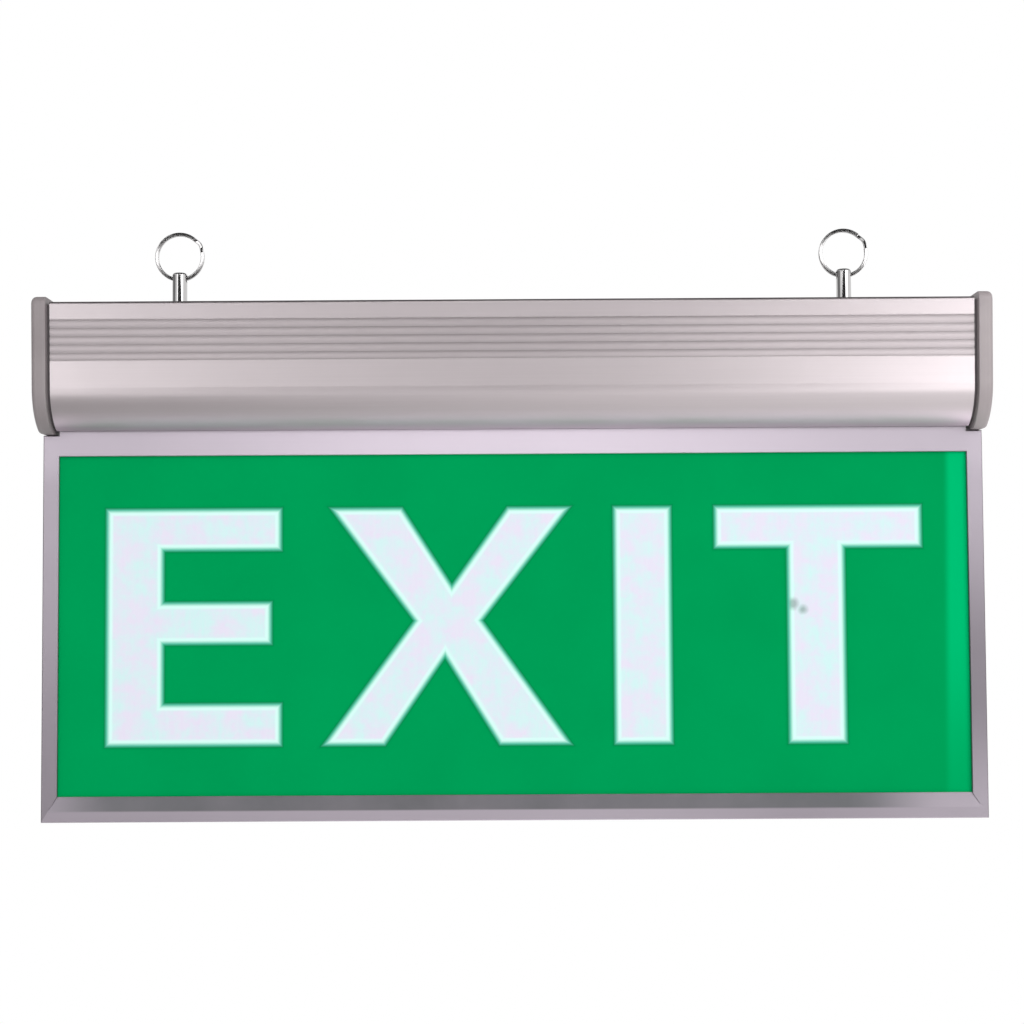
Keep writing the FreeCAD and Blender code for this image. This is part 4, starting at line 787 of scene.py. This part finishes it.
def letter_t(left):
    width = 77.4
    stem = left + (width - STEM) / 2 - 0.9
    under_bar = CAP_HEIGHT - ARM
    return [(stem, 0), (stem + STEM, 0), (stem + STEM, under_bar), (left + width, under_bar),
            (left + width, CAP_HEIGHT), (left, CAP_HEIGHT), (left, under_bar), (stem, under_bar)]


LETTERS = {  # each from its left edge
    "letter_e": letter_e(-154.1),
    "letter_x": letter_x(-71.1),
    "letter_i": letter_i(38.9),
    "letter_t": letter_t(77.3),
}
print("four outlines, with", [len(points) for points in LETTERS.values()], "corners")


# %% The letters' finish
INWARDS_TAG = "inwards"  # the distance inside a letter's outline, in millimetres
HALO = 1.7  # how far the plate reaches beyond the outline
CORE = 2.4  # and how far inside the outline the distance is counted
BRIGHT_RIM = (CORE, 0.9)  # where each fade starts and ends, in millimetres inwards
DARK_RING = (-HALO, -1.1)
PALE_GREEN = (-1.4, -0.1)
WHITE = (-0.6, 1.2)
WARM_WHITE = (0.76, 0.72, 0.86)
COOL_WHITE = (0.58, 0.86, 0.84)
STREAK_WHITE = (0.76, 0.79, 0.86)
RIM_WHITE = (0.66, 0.99, 0.90)
RING_GREEN = (0.0, 0.225, 0.068)
EDGE_GREEN = (0.09, 0.52, 0.36)
SCUFF_GREY = (0.26, 0.36, 0.34)
SCUFF_SHARE = 0.75
SCUFFS = [((106.2, -3.1, -114.7), 2.7), ((109.8, -3.1, -116.9), 2.1)]


def scuffed_share(tree, uneven):
    """How much of the two small scuffs, each given by its middle and reach in millimetres, is at a point."""
    total = None
    for middle, reach in SCUFFS:
        away = add(tree, "ShaderNodeVectorMath", {
            0: place_on_piece(tree), 1: Vector(middle) * MM}, operation="DISTANCE").outputs["Value"]
        away = math_node(tree, "ADD", away, scaled(tree, uneven, -0.0012, 0.0012))
        near = add(tree, "ShaderNodeMapRange", {
            "Value": away, "From Min": 0.3 * reach * MM, "From Max": 1.1 * reach * MM,
            "To Min": 1.0, "To Max": 0.0})
        near = near.outputs["Result"]
        total = near if total is None else math_node(tree, "MAXIMUM", total, near)
    return total


def inwards_share(tree, start, end):
    inwards = add(tree, "ShaderNodeAttribute", attribute_name=INWARDS_TAG).outputs["Fac"]
    return smooth_share(tree, inwards, start, end)


def letter_white():
    """Warm and cool whites in patches and fine upright streaks, with a soft, brighter edge."""
    material, tree = new_material("letter_white")
    patches = place_group(tree, mottling, {"Patches per metre": 140.0})["Shade"]
    streaks = place_group(tree, drawn_lines, {"Lines per metre": (900.0, 900.0, 60.0), "Broad share": 0.3})
    white = mix_colours(tree, scaled(tree, patches, -1.2, 2.2), WARM_WHITE, COOL_WHITE)
    white = mix_colours(tree, scaled(tree, streaks["Shade"], -0.2, 0.8), white, STREAK_WHITE)
    white = mix_colours(tree, inwards_share(tree, *BRIGHT_RIM), white, RIM_WHITE)
    scuffed = product(tree, scuffed_share(tree, patches), SCUFF_SHARE)
    white = mix_colours(tree, scuffed, white, SCUFF_GREY)
    green = mix_colours(tree, inwards_share(tree, *DARK_RING), printed_green(tree), RING_GREEN)
    green = mix_colours(tree, inwards_share(tree, *PALE_GREEN), green, EDGE_GREEN)
    colour = mix_colours(tree, inwards_share(tree, *WHITE), green, white)
    surface(tree, colour, scaled(tree, patches, 0.5, 0.65), 0.0, Specular_IOR_Level=0.0)
    return material


letter_finish = letter_white()
print("letter finish ready")

# %% Push the letters out of the sheet
INK = 0.10 * MM
SUNK = 0.03 * MM
MERGE = 0.001 * MM
LEGEND_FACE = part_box("legend_sheet")[0].y


def finished(shape, name, materials, body):
    """Closes a bmesh into an object with outward faces, and lets it ride on its body."""
    bmesh.ops.remove_doubles(shape, verts=shape.verts, dist=MERGE)
    bmesh.ops.recalc_face_normals(shape, faces=shape.faces)
    mesh = bpy.data.meshes.new(name)
    shape.to_mesh(mesh)
    shape.free()
    piece = bpy.data.objects.new(name, mesh)
    for material in materials:
        mesh.materials.append(material)
    scene.collection.objects.link(piece)
    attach(piece, body)
    return piece


def grown(outline, by):
    """The outline with every edge moved outwards by a distance; the corners run anticlockwise."""
    moved = []
    for before, here, after in zip(outline[-1:] + outline[:-1], outline, outline[1:] + outline[:1]):
        arriving = (Vector(here) - Vector(before)).normalized()
        leaving = (Vector(after) - Vector(here)).normalized()
        outwards = Vector((arriving.y, -arriving.x)) + Vector((leaving.y, -leaving.x))
        moved.append(Vector(here) + outwards * by / (1 + arriving.dot(leaving)))
    return moved


def letter(name, outline):
    """A thin plate with a tagged distance: a band runs round the outline, and the rest lies inside it."""
    shape = bmesh.new()
    tag = shape.verts.layers.float.new(INWARDS_TAG)

    def loop(y, inwards):
        corners = [shape.verts.new((x * MM, y, (BASE_Z + z) * MM)) for x, z in grown(outline, -inwards)]
        for corner in corners:
            corner[tag] = inwards
        return corners

    loops = [loop(LEGEND_FACE + SUNK, -HALO), loop(LEGEND_FACE - INK, -HALO), loop(LEGEND_FACE - INK, CORE)]
    shape.faces.new(loops[0])
    shape.faces.new(loops[2])
    for low, high in zip(loops, loops[1:]):
        for a, b, c, d in zip(low, low[1:] + low[:1], high[1:] + high[:1], high):
            shape.faces.new((a, b, c, d))
    piece = finished(shape, name, [letter_finish], "fixture")
    return piece


letters = [letter(name, outline) for name, outline in LETTERS.items()]
print("letters made, faces:", [len(piece.data.polygons) for piece in letters])

# %% [markdown]
# ## Screws with a cross slot
#
# Six tiny countersunk screws hold the corners of the panel's frame. In the construction their heads are
# plain. Here each gets its cross slot. A flat ring is filled between the head's circle and the cross, the
# cross is drawn down into the head, narrowing as it goes, and the circle is drawn down as the cone and the
# shank.

# %% Slotted screw heads
HEAD = 2.2 * MM  # the head's and the shank's radius
SHANK = 1.1 * MM
CONE = 1.05 * MM
SCREW_LENGTH = 3.05 * MM
ARM_OUT = 1.25 * MM  # a slot arm's reach and half its width
ARM_HALF = 0.26 * MM
SLOT_DEPTH = 0.75 * MM
SLOT_TAPER = 0.55


def loop_edges(shape, corners):
    return [shape.edges.new((a, b)) for a, b in zip(corners, corners[1:] + corners[:1])]


def drawn_down(shape, edges, depth, ratio):
    """Extrudes a loop of edges along -Z and shrinks it by a ratio; returns the new loop."""
    moved = bmesh.ops.extrude_edge_only(shape, edges=edges)["geom"]
    ends = [g for g in moved if isinstance(g, bmesh.types.BMVert)]
    bmesh.ops.translate(shape, vec=(0, 0, -depth), verts=ends)
    bmesh.ops.scale(shape, vec=(ratio, ratio, 1), verts=ends)
    return [g for g in moved if isinstance(g, bmesh.types.BMEdge) and all(v in ends for v in g.verts)]


def slotted_screw(shape, place, way):
    """One screw: its head faces against the direction that it is driven in."""
    part = bmesh.new()
    rim = bmesh.ops.create_circle(part, cap_ends=False, segments=32, radius=HEAD)["verts"]
    rim_edges = list({e for v in rim for e in v.link_edges})
    quarter = [(ARM_OUT, -ARM_HALF), (ARM_OUT, ARM_HALF), (ARM_HALF, ARM_HALF)]
    cross = []
    for turn in range(4):
        spin = Matrix.Rotation(math.radians(90 * turn), 3, "Z")
        cross += [part.verts.new(spin @ Vector((x, y, 0))) for x, y in quarter]
    cross_edges = loop_edges(part, cross)
    bmesh.ops.triangle_fill(part, edges=rim_edges + cross_edges, use_beauty=True)
    floor_edges = drawn_down(part, cross_edges, SLOT_DEPTH, SLOT_TAPER)
    bmesh.ops.contextual_create(part, geom=floor_edges)
    cone = drawn_down(part, rim_edges, CONE, SHANK / HEAD)
    tip = drawn_down(part, cone, SCREW_LENGTH - CONE, 1.0)
    bmesh.ops.contextual_create(part, geom=tip)
    turn = (-Vector(way)).to_track_quat("Z", "Y").to_matrix().to_4x4()
    bmesh.ops.transform(part, matrix=Matrix.Translation(place) @ turn, verts=part.verts)
    bmesh.ops.recalc_face_normals(part, faces=part.faces)
    mesh = bpy.data.meshes.new("one_screw")
    part.to_mesh(mesh)
    part.free()
    shape.from_mesh(mesh)
    bpy.data.meshes.remove(mesh)


SCREW_OFFSET = 9.0 * MM
HEAD_SUNK = 0.15 * MM
panel_low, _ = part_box("frame_bottom_bar")
_, panel_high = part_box("frame_right_bar")
side_x = panel_high.x
screws = bmesh.new()
for side in (-1, 1):
    for z in (panel_high.z - SCREW_OFFSET, panel_low.z + SCREW_OFFSET):
        slotted_screw(screws, (side * (side_x - HEAD_SUNK), 0, z), (-side, 0, 0))
    slotted_screw(screws, (side * (side_x - SCREW_OFFSET), 0, panel_low.z + HEAD_SUNK), (0, 0, 1))
frame_screw_heads = finished(screws, "slotted_frame_screws", [finishes["plated_steel"]], "fixture")
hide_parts("frame_screws")
print("six slotted screws,", len(frame_screw_heads.data.polygons), "faces")

# %% [markdown]
# ## Measure and finish
#
# The looks must not change the light's size, so the last line prints the size of the frame's box.

# %% Sizes
print("frame", [round(x, 4) for x in CAD_BOX[1] - CAD_BOX[0]])
